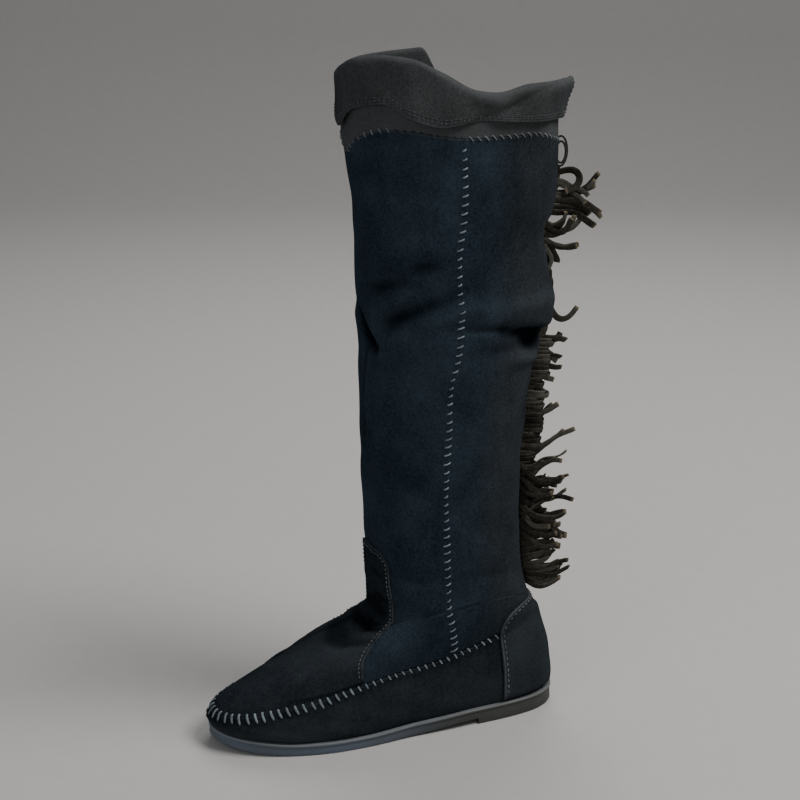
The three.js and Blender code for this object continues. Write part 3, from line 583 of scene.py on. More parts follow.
    def off_ring(self, angle, height, off):
        """Point off the leg's top by a level distance, at a height that may pass the leg's end."""
        level = self.level_of(np.minimum(height, self.leg_height * 0.965))
        at = self.skin(level, angle)
        across = self.skin(level, angle + 0.01) - self.skin(level, angle - 0.01)
        n = unit(np.stack([across[..., 1], -across[..., 0], np.zeros(across.shape[:-1])], -1))
        moved = at + n * off[..., None]
        moved[..., 2] = height
        return moved

    def leg_relief(self, level, angle):
        """Creases of the leg, by degrees round it and its height, and a slow uneven slackness."""
        deg = turn(angle) / DEG
        high = mix(self.instep_height, self.leg_height, level - 2) / self.leg_height
        tall = self.leg_height / self.leg_width
        crease = on_line(CREASES * [1, tall, 1, tall, 1, 1], deg, high * tall, 0.010)
        slack = (np.sin(deg * 0.07 + high * 31) * np.sin(high * 47 + deg * 0.035)
                 + 0.6 * np.sin(deg * 0.13 - high * 71 + 1.3)
                 + 0.4 * np.sin(deg * 0.21 + high * 19) * np.sin(high * 93)) * 0.0042
        return (crease + slack) * self.leg_width * soft((level - 1.5) * 2)

    def vamp_relief(self, level, angle, column):
        """Wrinkles of the vamp, and its slackness, which follows the leg where it lies on it."""
        wrinkle = on_line(WRINKLES, angle / DEG, level, 0.0012) * self.leg_width
        backed = np.maximum(soft((np.abs(column) - (AT_TAB - TAB_OVERLAP - 2.5)) / 1.2),
                            soft((level - 1.90) / 0.08))
        wrinkle = np.maximum(wrinkle, mix(-0.0030, -0.0009, backed))
        slack = 0.0008 * np.sin(level * 17 + angle * 3) * np.sin(angle * 5 + level * 6) * (
            soft((level - 1.1) * 4) * (1 - soft((level - 1.6) / 0.35)))
        return wrinkle, slack + self.leg_relief(level, angle)

    def gone(self, level, angle, distance):
        """Levels a distance up or down the surface from other levels, by the running arc length."""
        steps = np.linspace(0, 0.4, 81)[None] * np.sign(distance + 0.0 * level)[:, None]
        line = self.skin(level[:, None] + steps, angle[:, None] + 0.0 * steps)
        run = np.linalg.norm(np.diff(line, axis=1), axis=-1)
        arc = np.concatenate([np.zeros((len(run), 1)), np.cumsum(run, axis=1)], 1)
        want = np.abs(distance + 0.0 * level)[:, None]
        k = np.clip((arc < want).sum(1) - 1, 0, run.shape[1] - 1)[:, None]
        a, b = np.take_along_axis(arc, k, 1), np.take_along_axis(arc, k + 1, 1)
        p, q = np.take_along_axis(steps, k, 1), np.take_along_axis(steps, k + 1, 1)
        return level + mix(p, q, np.clip((want - a) / np.maximum(b - a, 1e-9), 0, 1))[:, 0]

    def seam_angle(self, step):
        """Angles round the moccasin seam at equal arc lengths, from the counter's front edges."""
        ends = self.column_angle(np.array([-AT_COUNTER, AT_COUNTER]), np.ones(2))
        fine = np.linspace(ends[0], ends[1], 1201)
        arc = arc_of(self.skin(np.ones(1201), fine))
        count = int(round(arc[-1] / step))
        return fine, arc / arc[-1] * count, count


def new_object(name, data):
    """An object of the scene that holds the data."""
    made = bpy.data.objects.new(name, data)
    bpy.context.scene.collection.objects.link(made)
    return made


def set_marks(mesh, marks, used=slice(None)):
    """Named numbers on a mesh's points, of which only the used ones are kept."""
    for mark, values in marks.items():
        held = mesh.attributes.new(mark, "FLOAT", "POINT").data
        held.foreach_set("value", np.asarray(values, np.float32).reshape(-1)[used])


def mesh_piece(name, points, faces, marks=None):
    """A mesh from points and faces, smooth apart from its cut edges, with named point marks."""
    quads = np.asarray(faces)
    used, back = np.unique(quads, return_inverse=True)
    mesh = bpy.data.meshes.new(name)
    mesh.from_pydata(points.reshape(-1, 3)[used], [], back.reshape(quads.shape))
    set_marks(mesh, marks or {}, used)
    mesh.validate()
    mesh.shade_smooth()
    mesh.set_sharp_from_angle(angle=SHARP)
    return new_object(name, mesh)


def sheet(name, outer, inner, on=None, wraps=False, marks=None):
    """Leather between an outer and an inner grid, walled wherever a present cell ends."""
    rows, columns = outer.shape[:2]
    cells = columns if wraps else columns - 1
    on = np.ones((rows - 1, cells), bool) if on is None else on
    index = np.arange(rows * columns).reshape(rows, columns)
    total = rows * columns
    r, c = np.nonzero(on)
    c1 = (c + 1) % columns
    a, b, d, e = index[r, c], index[r, c1], index[r + 1, c1], index[r + 1, c]
    faces = [np.stack([a, b, d, e], 1), np.stack([a, e, d, b], 1) + total]
    ringed = np.pad(on, 1)
    if wraps:
        ringed[1:-1, 0], ringed[1:-1, -1] = on[:, -1], on[:, 0]
    sides = [(ringed[:-2, 1:-1], a, b), (ringed[2:, 1:-1], d, e),
             (ringed[1:-1, :-2], e, a), (ringed[1:-1, 2:], b, d)]
    for beside, p, q in sides:
        bare = ~beside[r, c]
        faces.append(np.stack([p, p + total, q + total, q], 1)[bare])
    double = {mark: np.stack([v, v]) for mark, v in (marks or {}).items()}
    return mesh_piece(name, np.stack([outer, inner]), np.concatenate(faces), double)


def plate(name, rings, across, under=None):
    """A plate from rings that are symmetrical round the toe, closed by ladders across the foot."""
    rows, count = rings.shape[:2]
    index = np.arange(rows * count).reshape(rows, count)
    a, b = index[:-1], np.roll(index[:-1], -1, axis=1)
    sides = np.stack([a, a + count, b + count, b], -1).reshape(-1, 4)
    half = count // 2
    t = np.linspace(0, 1, across + 1)[None, :, None]
    points, faces = [rings.reshape(-1, 3)], [sides]
    for row in (0, rows - 1):
        left, right = rings[row, :half + 1], rings[row, -np.arange(half + 1)]
        rungs = left[:, None] * (1 - t) + right[:, None] * t
        if row and under is not None:
            rungs = under(rungs, t[0, :, 0])
        start = sum(len(p) for p in points)
        grid = np.arange(rungs.shape[0] * (across + 1)).reshape(-1, across + 1) + start
        p, q, s, w = grid[:-1, :-1], grid[1:, :-1], grid[1:, 1:], grid[:-1, 1:]
        order = [p, w, s, q] if row else [p, q, s, w]
        points.append(rungs.reshape(-1, 3))
        faces.append(np.stack(order, -1).reshape(-1, 4))
    piece = mesh_piece(name, np.concatenate(points), np.concatenate(faces))
    held = bmesh.new()
    held.from_mesh(piece.data)
    bmesh.ops.remove_doubles(held, verts=held.verts, dist=2e-5)
    bmesh.ops.dissolve_degenerate(held, edges=held.edges, dist=1e-6)
    held.to_mesh(piece.data)
    held.free()
    piece.data.set_sharp_from_angle(angle=SHARP)
    return piece


def swept(name, paths, normals, wide, thick, sides=6, square=1.0, blunt=0.75):
    """Closed strips, one a path: an oval carried along each, its wide side square to the normals.

    A point is path + wide cos(a)^square side + thick sin(a)^square normal, closed by two poles."""
    n, k = paths.shape[:2]
    ahead = unit(np.gradient(paths, axis=1))
    side = unit(np.cross(ahead, normals))
    up = np.cross(side, ahead)
    a = (np.arange(sides) + 0.5) / sides * 2 * math.pi
    c, s = [np.sign(v) * np.abs(v) ** square for v in (np.cos(a), np.sin(a))]
    ends = np.ones(k)
    ends[[0, -1]] = blunt
    half, deep = (np.broadcast_to(v, (n,))[:, None, None, None] / 2 * ends[None, :, None, None]
                  for v in (wide, thick))
    ring = (paths[:, :, None] + side[:, :, None] * c[None, None, :, None] * half
            + up[:, :, None] * s[None, None, :, None] * deep)
    index = np.arange(n * k * sides).reshape(n, k, sides)
    p, q = index[:, :-1], np.roll(index[:, :-1], -1, axis=2)
    quads = np.stack([p, p + sides, q + sides, q], -1).reshape(-1, 4)
    tips = paths[:, [0, -1]] + ahead[:, [0, -1]] * np.array([-1, 1])[None, :, None] * 0.0001
    poles = (n * k * sides + np.arange(n * 2)).reshape(n, 2, 1)
    first, last = index[:, 0], index[:, -1]
    fans = [np.stack(np.broadcast_arrays(poles[:, end], a, b), -1).reshape(-1, 3) for end, a, b in
            ((0, first, np.roll(first, -1, axis=1)), (1, np.roll(last, -1, axis=1), last))]
    mesh = bpy.data.meshes.new(name)
    points = np.concatenate([ring.reshape(-1, 3), tips.reshape(-1, 3)])
    mesh.from_pydata(points, [], quads.tolist() + np.concatenate(fans).tolist())
    who = scatter(np.arange(n) + 3.0)
    set_marks(mesh, {
        "along": np.concatenate([np.tile(np.repeat(np.linspace(0, 1, k), sides), n),
                                 np.tile([0.0, 1.0], n)]),
        "who": np.concatenate([np.repeat(who, k * sides), np.repeat(who, 2)])})
    mesh.shade_smooth()
    return new_object(name, mesh)


def stations(line, pitch, inset=0.0):
    """Arc lengths of a line's points, and even stations along it a pitch apart."""
    arc = arc_of(line)
    count = max(int((arc[-1] - 2 * inset) / pitch), 1)
    start = (arc[-1] - count * pitch) / 2
    return arc, start + (np.arange(count) + 0.5) * pitch


def along(line, arc, at):
    """Points of a line at given arc lengths."""
    return np.stack([np.interp(at, arc, line[:, i]) for i in range(3)], -1)


def topstitch(name, lines, pitch, long, thick):
    """Short stitches along lines of points and normals, each a low arch whose ends go under."""
    paths, normals = [], []
    t = np.linspace(-0.5, 0.5, 5)
    for line, n in lines:
        arc, centres = stations(line, pitch)
        at = centres[:, None] + t * long
        out = unit(along(n, arc, at))
        paths.append(along(line, arc, at) + out * ((0.62 - 4.4 * t ** 2) * thick)[None, :, None])
        normals.append(out)
    return swept(name, np.concatenate(paths), np.concatenate(normals), thick * 1.1, thick)


def whipped(name, low, middle, high, out, wide, thick):
    """Laces over a seam: each runs along the parabola through its three points."""
    t = np.linspace(0, 1, 9)[None, :, None]
    paths = (low[:, None] * (2 * t * t - 3 * t + 1) + middle[:, None] * (4 * t - 4 * t * t)
             + high[:, None] * (2 * t * t - t))
    normals = np.repeat(out[:, None], 9, 1)
    return swept(name, paths, normals, wide, thick, sides=8, blunt=0.55)


def settle(piece, key, nodes=()):
    """Gives a piece its material and its place on the frame, and hides the solids that it stands
    for.
    """
    piece.data.materials.append(material(key))
    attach(piece, "root")
    if nodes:
        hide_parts(*nodes)


class Nodes:
    """A material's node tree, with short calls for the nodes used here."""

    def __init__(self, name):
        """An empty material with its surface shader."""
        self.material = bpy.data.materials.new("boot_" + name)
        self.material.use_nodes = True
        self.tree = self.material.node_tree
        self.shader = self.tree.nodes["Principled BSDF"]
        self.place = self.add("ShaderNodeTexCoord", "Object")

    def add(self, kind, out, inputs=None, **values):
        """One output of a new node, with its inputs given by name or number, and its settings."""
        node = self.tree.nodes.new(kind)
        for key, value in values.items():
            setattr(node, key, value)
        for key, value in (inputs or {}).items():
            self.link(value, node.inputs[key])
        return node.outputs[out]

    def link(self, value, socket):
        """Links a socket to an output, or sets it to a number or a colour."""
        if isinstance(value, bpy.types.NodeSocket):
            self.tree.links.new(value, socket)
        else:
            socket.default_value = (*value, 1.0) if socket.type == "RGBA" else value

    def noise(self, scale, detail, rough, stretch=None):
        """Noise over the object's own coordinates, stretched along its axes if asked."""
        where = self.place
        if stretch:
            where = self.add("ShaderNodeMapping", "Vector", {"Scale": stretch, "Vector": where})
        return self.add("ShaderNodeTexNoise", "Fac", {
            "Vector": where, "Scale": scale, "Detail": detail, "Roughness": rough})

    def mark(self, name):
        """A named point mark of the mesh."""
        return self.add("ShaderNodeAttribute", "Fac", attribute_name=name)

    def ramp(self, value, low, high, to_low=0.0, to_high=1.0):
        """A value spread from one range to another, held at its ends."""
        return self.add("ShaderNodeMapRange", "Result", {
            "Value": value, "From Min": low, "From Max": high, "To Min": to_low,
            "To Max": to_high}, clamp=True)

    def maths(self, kind, first, *rest):
        """The same arithmetic step with each further value."""
        for value in rest:
            first = self.add("ShaderNodeMath", 0, {0: first, 1: value}, operation=kind)
        return first

    def blend(self, share, a, b):
        """Two colours blended by a share: inputs 6 and 7 and output 2 are the colour ones."""
        return self.add("ShaderNodeMix", 2, {"Factor": share, 6: a, 7: b}, data_type="RGBA")

    def bump(self, height, distance, strength, under=None):
        """Relief from a height, over another relief if given."""
        inputs = {"Distance": distance, "Strength": strength, "Height": height}
        if under is not None:
            inputs["Normal"] = under
        return self.add("ShaderNodeBump", "Normal", inputs)

    def finish(self, base, normal, **uniform):
        """Links colour and relief, and sets the shader's even values."""
        for key, value in {"Base Color": base, "Normal": normal, **uniform}.items():
            self.link(value, self.shader.inputs[key.replace("_", " ")])
        return self.material


def times(tint, factor):
    """A colour made paler or darker by a factor."""
    return tuple(v * factor for v in tint)


def suede(name, dark, pale, edge, blotch=1.0, strips=0.0):
    """Brushed suede: cloudy nap that lies both ways, rubbed marks with painted light, dust specks,
    pale cut edges and painted shade.

    strips: how much the strips of a fringe differ, and whether their cut ends are pale."""
    made = Nodes(name)
    brush = made.noise(40, 6, 0.72, stretch=(1.0, 1.0, 0.5))
    nap = made.noise(460, 4, 0.72)
    speck = made.noise(1250, 2, 0.6)
    # The rub mark adds worn paleness and painted light: the toe's wall and the cuff's band are
    # painted paler.
    tone = made.maths(
        "ADD", made.ramp(made.noise(12, 4, 0.6), 0.25, 0.75, -0.30 * blotch, 0.30 * blotch),
        made.ramp(brush, 0.25, 0.75, -0.22 * blotch, 0.22 * blotch),
        made.ramp(nap, 0.25, 0.75, 0.14, 0.70), made.ramp(speck, 0.25, 0.75, -0.30, 0.30),
        made.maths("MULTIPLY", made.mark("rub"), 0.60))
    if strips:
        tone = made.maths("ADD", tone, made.ramp(
            made.mark("who"), 0.0, 1.0, -0.5 * strips, 0.5 * strips))
    now = made.blend(tone, dark, pale)
    plain = made.blend(tone, (sum(dark) / 3,) * 3, (sum(pale) / 3,) * 3)
    now = made.blend(made.maths("MULTIPLY", made.mark("grey"), 0.60), now, plain)
    now = made.blend(made.ramp(made.noise(1700, 1, 0.5), 0.75, 0.82, 0.0, 0.5), now,
                     times(pale, 4))
    if strips:
        now = made.blend(made.ramp(made.mark("along"), 0.93, 1.0, 0.0, 0.8), now,
                         (0.200, 0.165, 0.110))
    ragged = made.maths("MULTIPLY", made.mark("cut"), made.ramp(nap, 0.30, 0.55, 0.55, 1.0))
    now = made.blend(ragged, now, edge)
    # Painted shade: the shade mark darkens creases, folds, the wall under the moc seam, the leg
    # under the vamp, the counter's foot and the cuff's band under the flap.
    now = made.blend(made.mark("shade"), now, times(dark, 0.22))
    relief = made.bump(brush, 0.0008, 0.5)
    relief = made.bump(nap, 0.00035, 0.9, relief)
    relief = made.bump(speck, 0.00016, 0.9, relief)
    return made.finish(now, relief, Roughness=1.0, Specular_IOR_Level=0.0,
                       Sheen_Weight=0.02, Sheen_Roughness=0.5, Sheen_Tint=(0.45, 0.60, 0.75))


def laced(name, tint):
    """Waxed lace: worn patches, fine fibres, some stitches dirtier than others, a soft shine."""
    made = Nodes(name)
    fibre = made.noise(1900, 2, 0.6)
    tone = made.blend(made.ramp(made.noise(160, 3, 0.6), 0.35, 0.65, 0.45, 1.0),
                      times(tint, 0.30), tint)
    tone = made.blend(made.ramp(fibre, 0.45, 0.7, 0.0, 0.35), tone, times(tint, 0.5))
    tone = made.blend(made.ramp(made.mark("who"), 0.0, 1.0, 0.0, 0.65), tone, times(tint, 0.25))
    return made.finish(tone, made.bump(fibre, 0.00018, 0.8), Roughness=0.55,
                       Specular_IOR_Level=0.4)


def rubber(name, base, toe, lip):
    """Moulded rubber: matt sides with scuffs and dust, painted light making the toe's side paler,
    and a pale lip, partly worn and partly a painted highlight.
    """
    made = Nodes(name)
    scuff = made.noise(90, 5, 0.7, stretch=(1.0, 0.35, 1.6))
    # Painted light: the side is painted paler towards the toe.
    tone = made.blend(made.mark("toe"), base, toe)
    tone = made.blend(made.ramp(made.noise(22, 5, 0.6), 0.35, 0.7, 0.0, 0.5), tone,
                      times(base, 1.5))
    tone = made.blend(made.ramp(scuff, 0.60, 0.74, 0.0, 0.30), tone, toe)
    # Pale lip along the top edge: worn rubber and a painted highlight.
    worn = made.maths("MULTIPLY", made.mark("rub"), made.ramp(scuff, 0.25, 0.55, 0.55, 1.0))
    relief = made.bump(made.noise(900, 2, 0.5), 0.00012, 0.6, made.bump(scuff, 0.0003, 0.5))
    return made.finish(made.blend(worn, tone, lip), relief, Roughness=0.62,
                       Specular_IOR_Level=0.35)


def woven(name, tint):
    """Woven sock lining: two crossed fine waves."""
    made = Nodes(name)
    weave = made.maths("MULTIPLY", *(made.add(
        "ShaderNodeTexWave", "Fac", {"Scale": 420, "Vector": made.place},
        bands_direction=axis) for axis in "XY"))
    tone = made.blend(made.ramp(weave, 0.0, 1.0), tint, times(tint, 1.8))
    return made.finish(tone, made.bump(weave, 0.0002, 0.8), Roughness=0.95)


def matt(name, tint):
    """Even floor with a faint grain."""
    made = Nodes(name)
    grain = made.noise(60, 3, 0.5)
    tone = made.blend(made.ramp(grain, 0.3, 0.7), times(tint, 0.97), tint)
    return made.finish(tone, made.bump(grain, 0.0003, 0.2), Roughness=0.8)


def dimmed(name, tint):
    """Lace or thread at half its brightness."""
    return laced(name, times(tint, 0.5))


MATERIALS = {
    # name: kind, colours of the panel, other settings
    "suede": (suede, ("suede", "suede_pale", "edge"), {}),
    "suede_foot": (suede, ("foot", "foot_pale", "edge"), {}),
    "suede_cuff": (suede, ("cuff", "cuff_pale", "edge"), {"blotch": 0.8}),
    "suede_fringe": (suede, ("fringe", "fringe_pale", "edge"), {"strips": 0.7}),
    "lace": (laced, ("lace",), {}),
    "thread": (laced, ("thread",), {}),
    "hem_thread": (dimmed, ("thread",), {}),
    "awl_hole": (laced, ("hole",), {}),
    "rubber_sole": (rubber, ("rubber", "rubber_toe", "rubber_lip"), {}),
    "sock_lining": (woven, ("sock",), {}),
    "studio_floor": (matt, ("floor",), {}),
}


def material(key):
    """The boot's material of that name, made once from the panel's colours."""
    if "boot_" + key not in bpy.data.materials:
        kind, tints, settings = MATERIALS[key]
        panel = bpy.context.scene.boot_colours
        kind(key, *(tuple(getattr(panel, tint)) for tint in tints), **settings)
    return bpy.data.materials["boot_" + key]


def edge_mark(distance, wide):
    """1 at a cut edge, fading to 0 over a width."""
    return 1 - soft(distance / wide)


def pleats(turns):
    """Folds of the seam by stitch count: half less |sine|; and their shadow, |cosine| cubed."""
    return 0.5 - np.abs(np.sin(math.pi * turns)), np.abs(np.cos(math.pi * turns)) ** 3


class BOOT_OT_outsole(bpy.types.Operator):
    """Moulded rubber outsole with its lip, heel step, arch, toe spring and tread"""

    bl_idname = "boot.outsole"
    bl_label = "Outsole"

    def execute(self, context):
        """Rings round the outline carried down the side, and a ribbed ladder underneath."""
        last = Last(context.scene.boot_sizes)
        step, beside = math.acos(2 * last.heel_tread / last.sole_length - 1), 0.0008
        even = np.linspace(0, math.pi, 161)
        half = np.sort(np.concatenate([even, [step - beside, step + beside]]))
        angle = np.concatenate([half, 2 * math.pi - half[-2:0:-1]])
        u = share_of(angle)
        x, f = last.plan(angle[None], SOLE_SIDE[:, :1] * last.sole_lip)
        top = last.sole_top(u)[None] - SOLE_SIDE[:, 1:] * last.heel_thick
        rings = [last.place(x, f, top)]
        bottom = last.sole_bottom(u * last.sole_length)
        for inward, rise in ((0.0, 1.0), (0.28, 0.45), (0.98, 0.0)):
            x, f = last.plan(angle, last.sole_lip / 2 + last.tread_bevel * inward)
            rings.append(last.place(x, f, bottom + last.tread_bevel * rise)[None])

        def tread(rungs, t):
            """Grooves from a sine along the foot, fading at the edge, the ends and the step."""
            pitch, deep, fade = 0.0058, 0.0009, 0.004
            f = last.heel_centre - rungs[..., 1]
            groove = soft(np.sin(f / pitch * 2 * math.pi) * 2 - 0.6)
            inside = soft((0.5 - np.abs(t - 0.5) - 0.09) * 30)[None]
            ends = soft((f - 0.010) / fade) * soft((last.sole_length - 0.012 - f) / fade)
            off_step = soft((np.abs(f - last.heel_tread) - fade) / 0.003)
            rungs[..., 2] += deep * groove * inside * ends * off_step
            return rungs

        piece = plate("sole_unit", np.concatenate(rings), 48, tread)
        co = np.empty(len(piece.data.vertices) * 3)
        piece.data.vertices.foreach_get("co", co)
        z, y = co[2::3], co[1::3]
        share = np.clip((last.heel_centre - y) / last.sole_length, 0, 1)
        under = last.sole_top(share) - z
        # Marks: a pale lip along the top edge, worn and a painted highlight; and painted light,
        # paler towards the toe.
        set_marks(piece.data, {"rub": 0.8 * soft(1.15 - under / 0.0012),
                               "toe": soft((share - 0.30) / 0.35)})
        settle(piece, "rubber_sole", ("outsole",))
        return {"FINISHED"}


class BOOT_OT_insole(bpy.types.Operator):
    """Sock lining that lies on the sole inside the foot"""

    bl_idname = "boot.insole"
    bl_label = "Insole"

    def execute(self, context):
        """A thin plate inside the upper, its edge rounded over."""
        last = Last(context.scene.boot_sizes)
        angle = np.linspace(0, 2 * math.pi, 160, endpoint=False)
        inset = last.feather_inset + last.leather + 2 * last.gap
        low = last.sole_top(share_of(angle)) + last.gap
        rings = []
        rounded = ((0.0016, 1.0), (0.0008, 0.95), (0.0002, 0.75), (0.0, 0.45), (0.0, 0.0))
        for inward, rise in rounded:
            x, f = last.plan(angle, inset + inward)
            rings.append(last.place(x, f, low + last.sock_thick * rise))
        settle(plate("sock_lining", np.stack(rings), 20), "sock_lining", ("insole",))
        return {"FINISHED"}


class BOOT_OT_foot(bpy.types.Operator):
    """Moccasin foot: the gathered wall and the vamp with its tab"""

    bl_idname = "boot.foot"
    bl_label = "Moccasin foot"

    def execute(self, context):
        """Grids over the last; pleats fall between the stitches and fade away from the seam."""
        last = Last(context.scene.boot_sizes)
        fine, index, _ = last.seam_angle(last.lace_pitch)
        columns = refine(np.arange(-AT_BACK, AT_BACK), 10)
        columns = np.concatenate([columns, columns[-1] + np.arange(1, 10) / 10])
        levels = np.concatenate([refine(WALL_ROWS, 3), np.linspace(WALL_ROWS[-1], 1, 11)[1:]])
        level = np.repeat(levels[:, None], len(columns), 1)
        angle = last.column_angle(np.repeat(columns[None], len(levels), 0), level)
        turns = np.interp(angle, fine, index)
        u = share_of(angle)
        tall = pick(MOC_SEAM, 1, u) * last.wall_height - last.sole_top(u)
        down = (1 - level) * tall
        ahead = soft((np.cos(angle) + 0.35) / 0.9)
        shown = soft((AT_COUNTER - 0.4 - np.abs(columns))[None] / 0.8)
        fold, dim = pleats(turns)
        pleat = fold * mix(0.00055, 0.0011, ahead)
        pleat = pleat * hump(down, mix(0.0045, 0.0075, ahead)) * shown
        lip = 0.0006 * hump(down, 0.0018) * shown
        wave = 0.0005 * np.sin(turns * 0.9 + level * 5) * np.sin(level * 9) * shown
        out = last.lifted(level, angle, pleat + lip + wave)
        inner = last.lifted(level, angle, -last.leather * np.ones_like(level))
        # Painted shade under the moc seam's pleated lip, darker in the pleats' shadow.
        dark = 0.75 * hump(down - 0.0035, 0.003) * shown * (0.35 + 0.65 * dim)
        # Painted light and wear: the toe's low wall is painted paler, the upper wall darker.
        rub = 0.95 * soft((u - 0.55) * 4) * soft(1 - level * 1.1) - 0.25 * soft(level * 2.4 - 0.4)
        cut = edge_mark(down, 0.0009) * 0.35 * shown
        wall = sheet("moccasin_wall", out, inner, wraps=True,
                     marks={"cut": cut, "rub": rub, "shade": dark * 0.55})
        settle(wall, "suede_foot", ("upper",))

        columns = refine(np.arange(-AT_TAB, AT_TAB + 1), 9)
        wide = columns[None]
        fixed = np.concatenate([np.linspace(1.004, VAMP_ROWS[0], 12), refine(VAMP_ROWS, 7)[1:]])
        body = np.repeat(fixed[:, None], len(columns), 1)
        tab = mix(2, last.tab_top(columns)[None], np.linspace(0, 1, 41)[1:, None])
        level = np.concatenate([body, tab])
        angle = last.column_angle(np.broadcast_to(wide, level.shape), level)
        turns = np.interp(angle, fine, index)
        rate = np.linalg.norm(last.skin(1.1, angle) - last.skin(1.0, angle), axis=-1) / 0.1
        up = (level - 1) * rate
        lift = soft((level - 1.06) / 0.05) * last.lap * soft(
            (np.abs(wide) - (AT_TAB - TAB_OVERLAP - 1.4)) / 0.5)
        lift = np.maximum(lift, soft((level - 1.9) / 0.08) * last.lap)
        fold, dim = pleats(turns)
        pleat = fold * 0.0008 * hump(up, 0.0050)
        lip = 0.0007 * hump(up, 0.0022)
        wrinkle, slack = last.vamp_relief(level, angle, wide)
        out = last.lifted(level, angle, lift + pleat + lip + wrinkle + slack)
        inner = last.lifted(level, angle, lift + wrinkle + slack - last.leather)
        inward = (AT_TAB - np.abs(wide)) * mix(0.0120, 0.0042, soft((level - 1.1) / 0.9))
        below = (last.tab_top(columns)[None] - level) * (last.leg_height - last.instep_height)
        cut = 0.6 * np.maximum(edge_mark(inward, 0.0009) * soft((level - 1.1) * 8),
                               edge_mark(below, 0.0012))
        # Painted shade in the wrinkles' troughs and in the gathers just above the moc seam.
        crease_shade = np.clip(-wrinkle / 0.0012, 0, 1) * 0.85
        gathered = 0.5 * hump(up - 0.004, 0.003) * dim
        rub = 0.80 * soft((level - 1.20) / 0.4) * soft((2.0 - level) / 0.3) - 0.25
        vamp = sheet("moccasin_vamp", out, inner,
                     marks={"cut": cut, "rub": rub, "shade": np.maximum(crease_shade, gathered)})
        settle(vamp, "suede_foot", ("upper",))
        return {"FINISHED"}


class BOOT_OT_leg(bpy.types.Operator):
    """Front and back panels of the leg"""

    bl_idname = "boot.leg"
    bl_label = "Leg panels"

    def rows(self, last, columns):
        """Levels of the leg's rows, from above the moccasin seam to the whipped seam."""
        top = last.level_of(last.collar(last.collar_angle(columns))[0])
        foot = np.concatenate([[1.012, 1.05, 1.09], refine(VAMP_ROWS, 4)])
        low = np.repeat(foot[:, None], len(columns), 1)
        tab = last.tab_top(np.minimum(np.abs(columns), AT_TAB))
        middle = mix(2, tab[None], np.linspace(0, 1, 13)[1:, None])
        upper = mix(tab[None], top[None], np.linspace(0, 1, 211)[1:, None])
        return np.concatenate([low, middle, upper])

    def execute(self, context):
        """The last's surface between the side seams with its creases, less the vamp's place."""
        last = Last(context.scene.boot_sizes)
        for name, node, start, stop in (("leg_front", "shaft_front", -AT_SEAM, AT_SEAM),
                                        ("leg_back", "shaft_back", AT_SEAM, 2 * AT_BACK - AT_SEAM)):
            flat = refine(np.arange(start, stop + 1), 6)
            column = np.where(flat > AT_BACK, flat - 2 * AT_BACK, flat)
            level = self.rows(last, column)
            wide = np.broadcast_to(column[None], level.shape)
            angle = last.column_angle(wide, level)
            inward = -1 if start < 0 else 1
            at_seam = np.isclose(np.abs(wide), AT_SEAM)
            angle = angle + np.sign(wide) * inward * 0.0006 * at_seam
            relief = last.leg_relief(level, angle)
            ridge = 0.0004 * hump(np.abs(np.abs(wide) - AT_SEAM) * SEAM_COLUMN, 0.0030)
            gone = np.linalg.norm(last.skin(level, angle) - last.skin(1, angle), axis=-1)
            tucked = -0.0004 * edge_mark(gone, 0.003)
            out = last.lifted(level, angle, relief + ridge + tucked)
            inner = last.lifted(level, angle, relief - last.leather)
            on = None
            if start < 0:
                c = np.abs((flat[:-1] + flat[1:]) / 2)[None]
                mid = (level[:-1, :-1] + level[1:, 1:]) / 2
                tucked_in = (c > AT_TAB - TAB_OVERLAP) & (mid > VAMP_ROWS[1])
                on = (c > AT_TAB) | tucked_in | (mid > VAMP_ROWS[-1])
            below = (level[-1:] - level) * (last.leg_height - last.instep_height)
            # Painted shade in the creases' troughs, and near the moc seam where the leg tucks under
            # the vamp.
            dark = np.clip(-relief / (0.050 * last.leg_width) - 0.16, 0, 1)
            piece = sheet(name, out, inner, on, marks={
                "cut": edge_mark(below, 0.0008) * 0.5,
                "shade": np.maximum(dark, 0.55 * edge_mark(gone, 0.004)),
                "rub": np.clip(relief / (0.03 * last.leg_width), 0, 1) * 0.4,
                "grey": 0.2 + 0.8 * soft((turn(np.abs(angle)) / DEG - 92) / 30)})
            settle(piece, "suede", (node,))
        return {"FINISHED"}


class BOOT_OT_counter(bpy.types.Operator):
    """Heel counter over the wall and the foot of the leg"""

    bl_idname = "boot.counter"
    bl_label = "Heel counter"

    def execute(self, context):
        """The last's surface round the heel, lifted by the leather under it."""
        last = Last(context.scene.boot_sizes)
        turns = refine(np.arange(-COUNTER_HALF, COUNTER_HALF + 1), 7)
        level, column = counter_grid(last, turns, np.linspace(0, 1, 41))
        angle = last.column_angle(column, level)
        lift = COUNTER_GAP + last.leather
        height = level * 30
        wave = 0.0005 * np.sin(angle * 9 + height * 0.2) * np.sin(height * 0.25)
        out = last.lifted(level, angle, lift + wave)
        inner = last.lifted(level, angle, lift - last.leather)
        down = np.linalg.norm(out - out[-1:], axis=-1)
        side = (COUNTER_HALF - np.abs(turns))[None] * COUNTER_COLUMN
        # Painted shade along the counter's foot, next to the sole.
        piece = sheet("counter", out, inner, marks={
            "cut": np.maximum(edge_mark(down, 0.0009), edge_mark(side, 0.0009)),
            "shade": 0.35 * edge_mark((level - COUNTER_FOOT) * 0.06, 0.004),
            "rub": np.full_like(level, 0.55)})
        settle(piece, "suede_foot", ("heel_counter",))
        return {"FINISHED"}


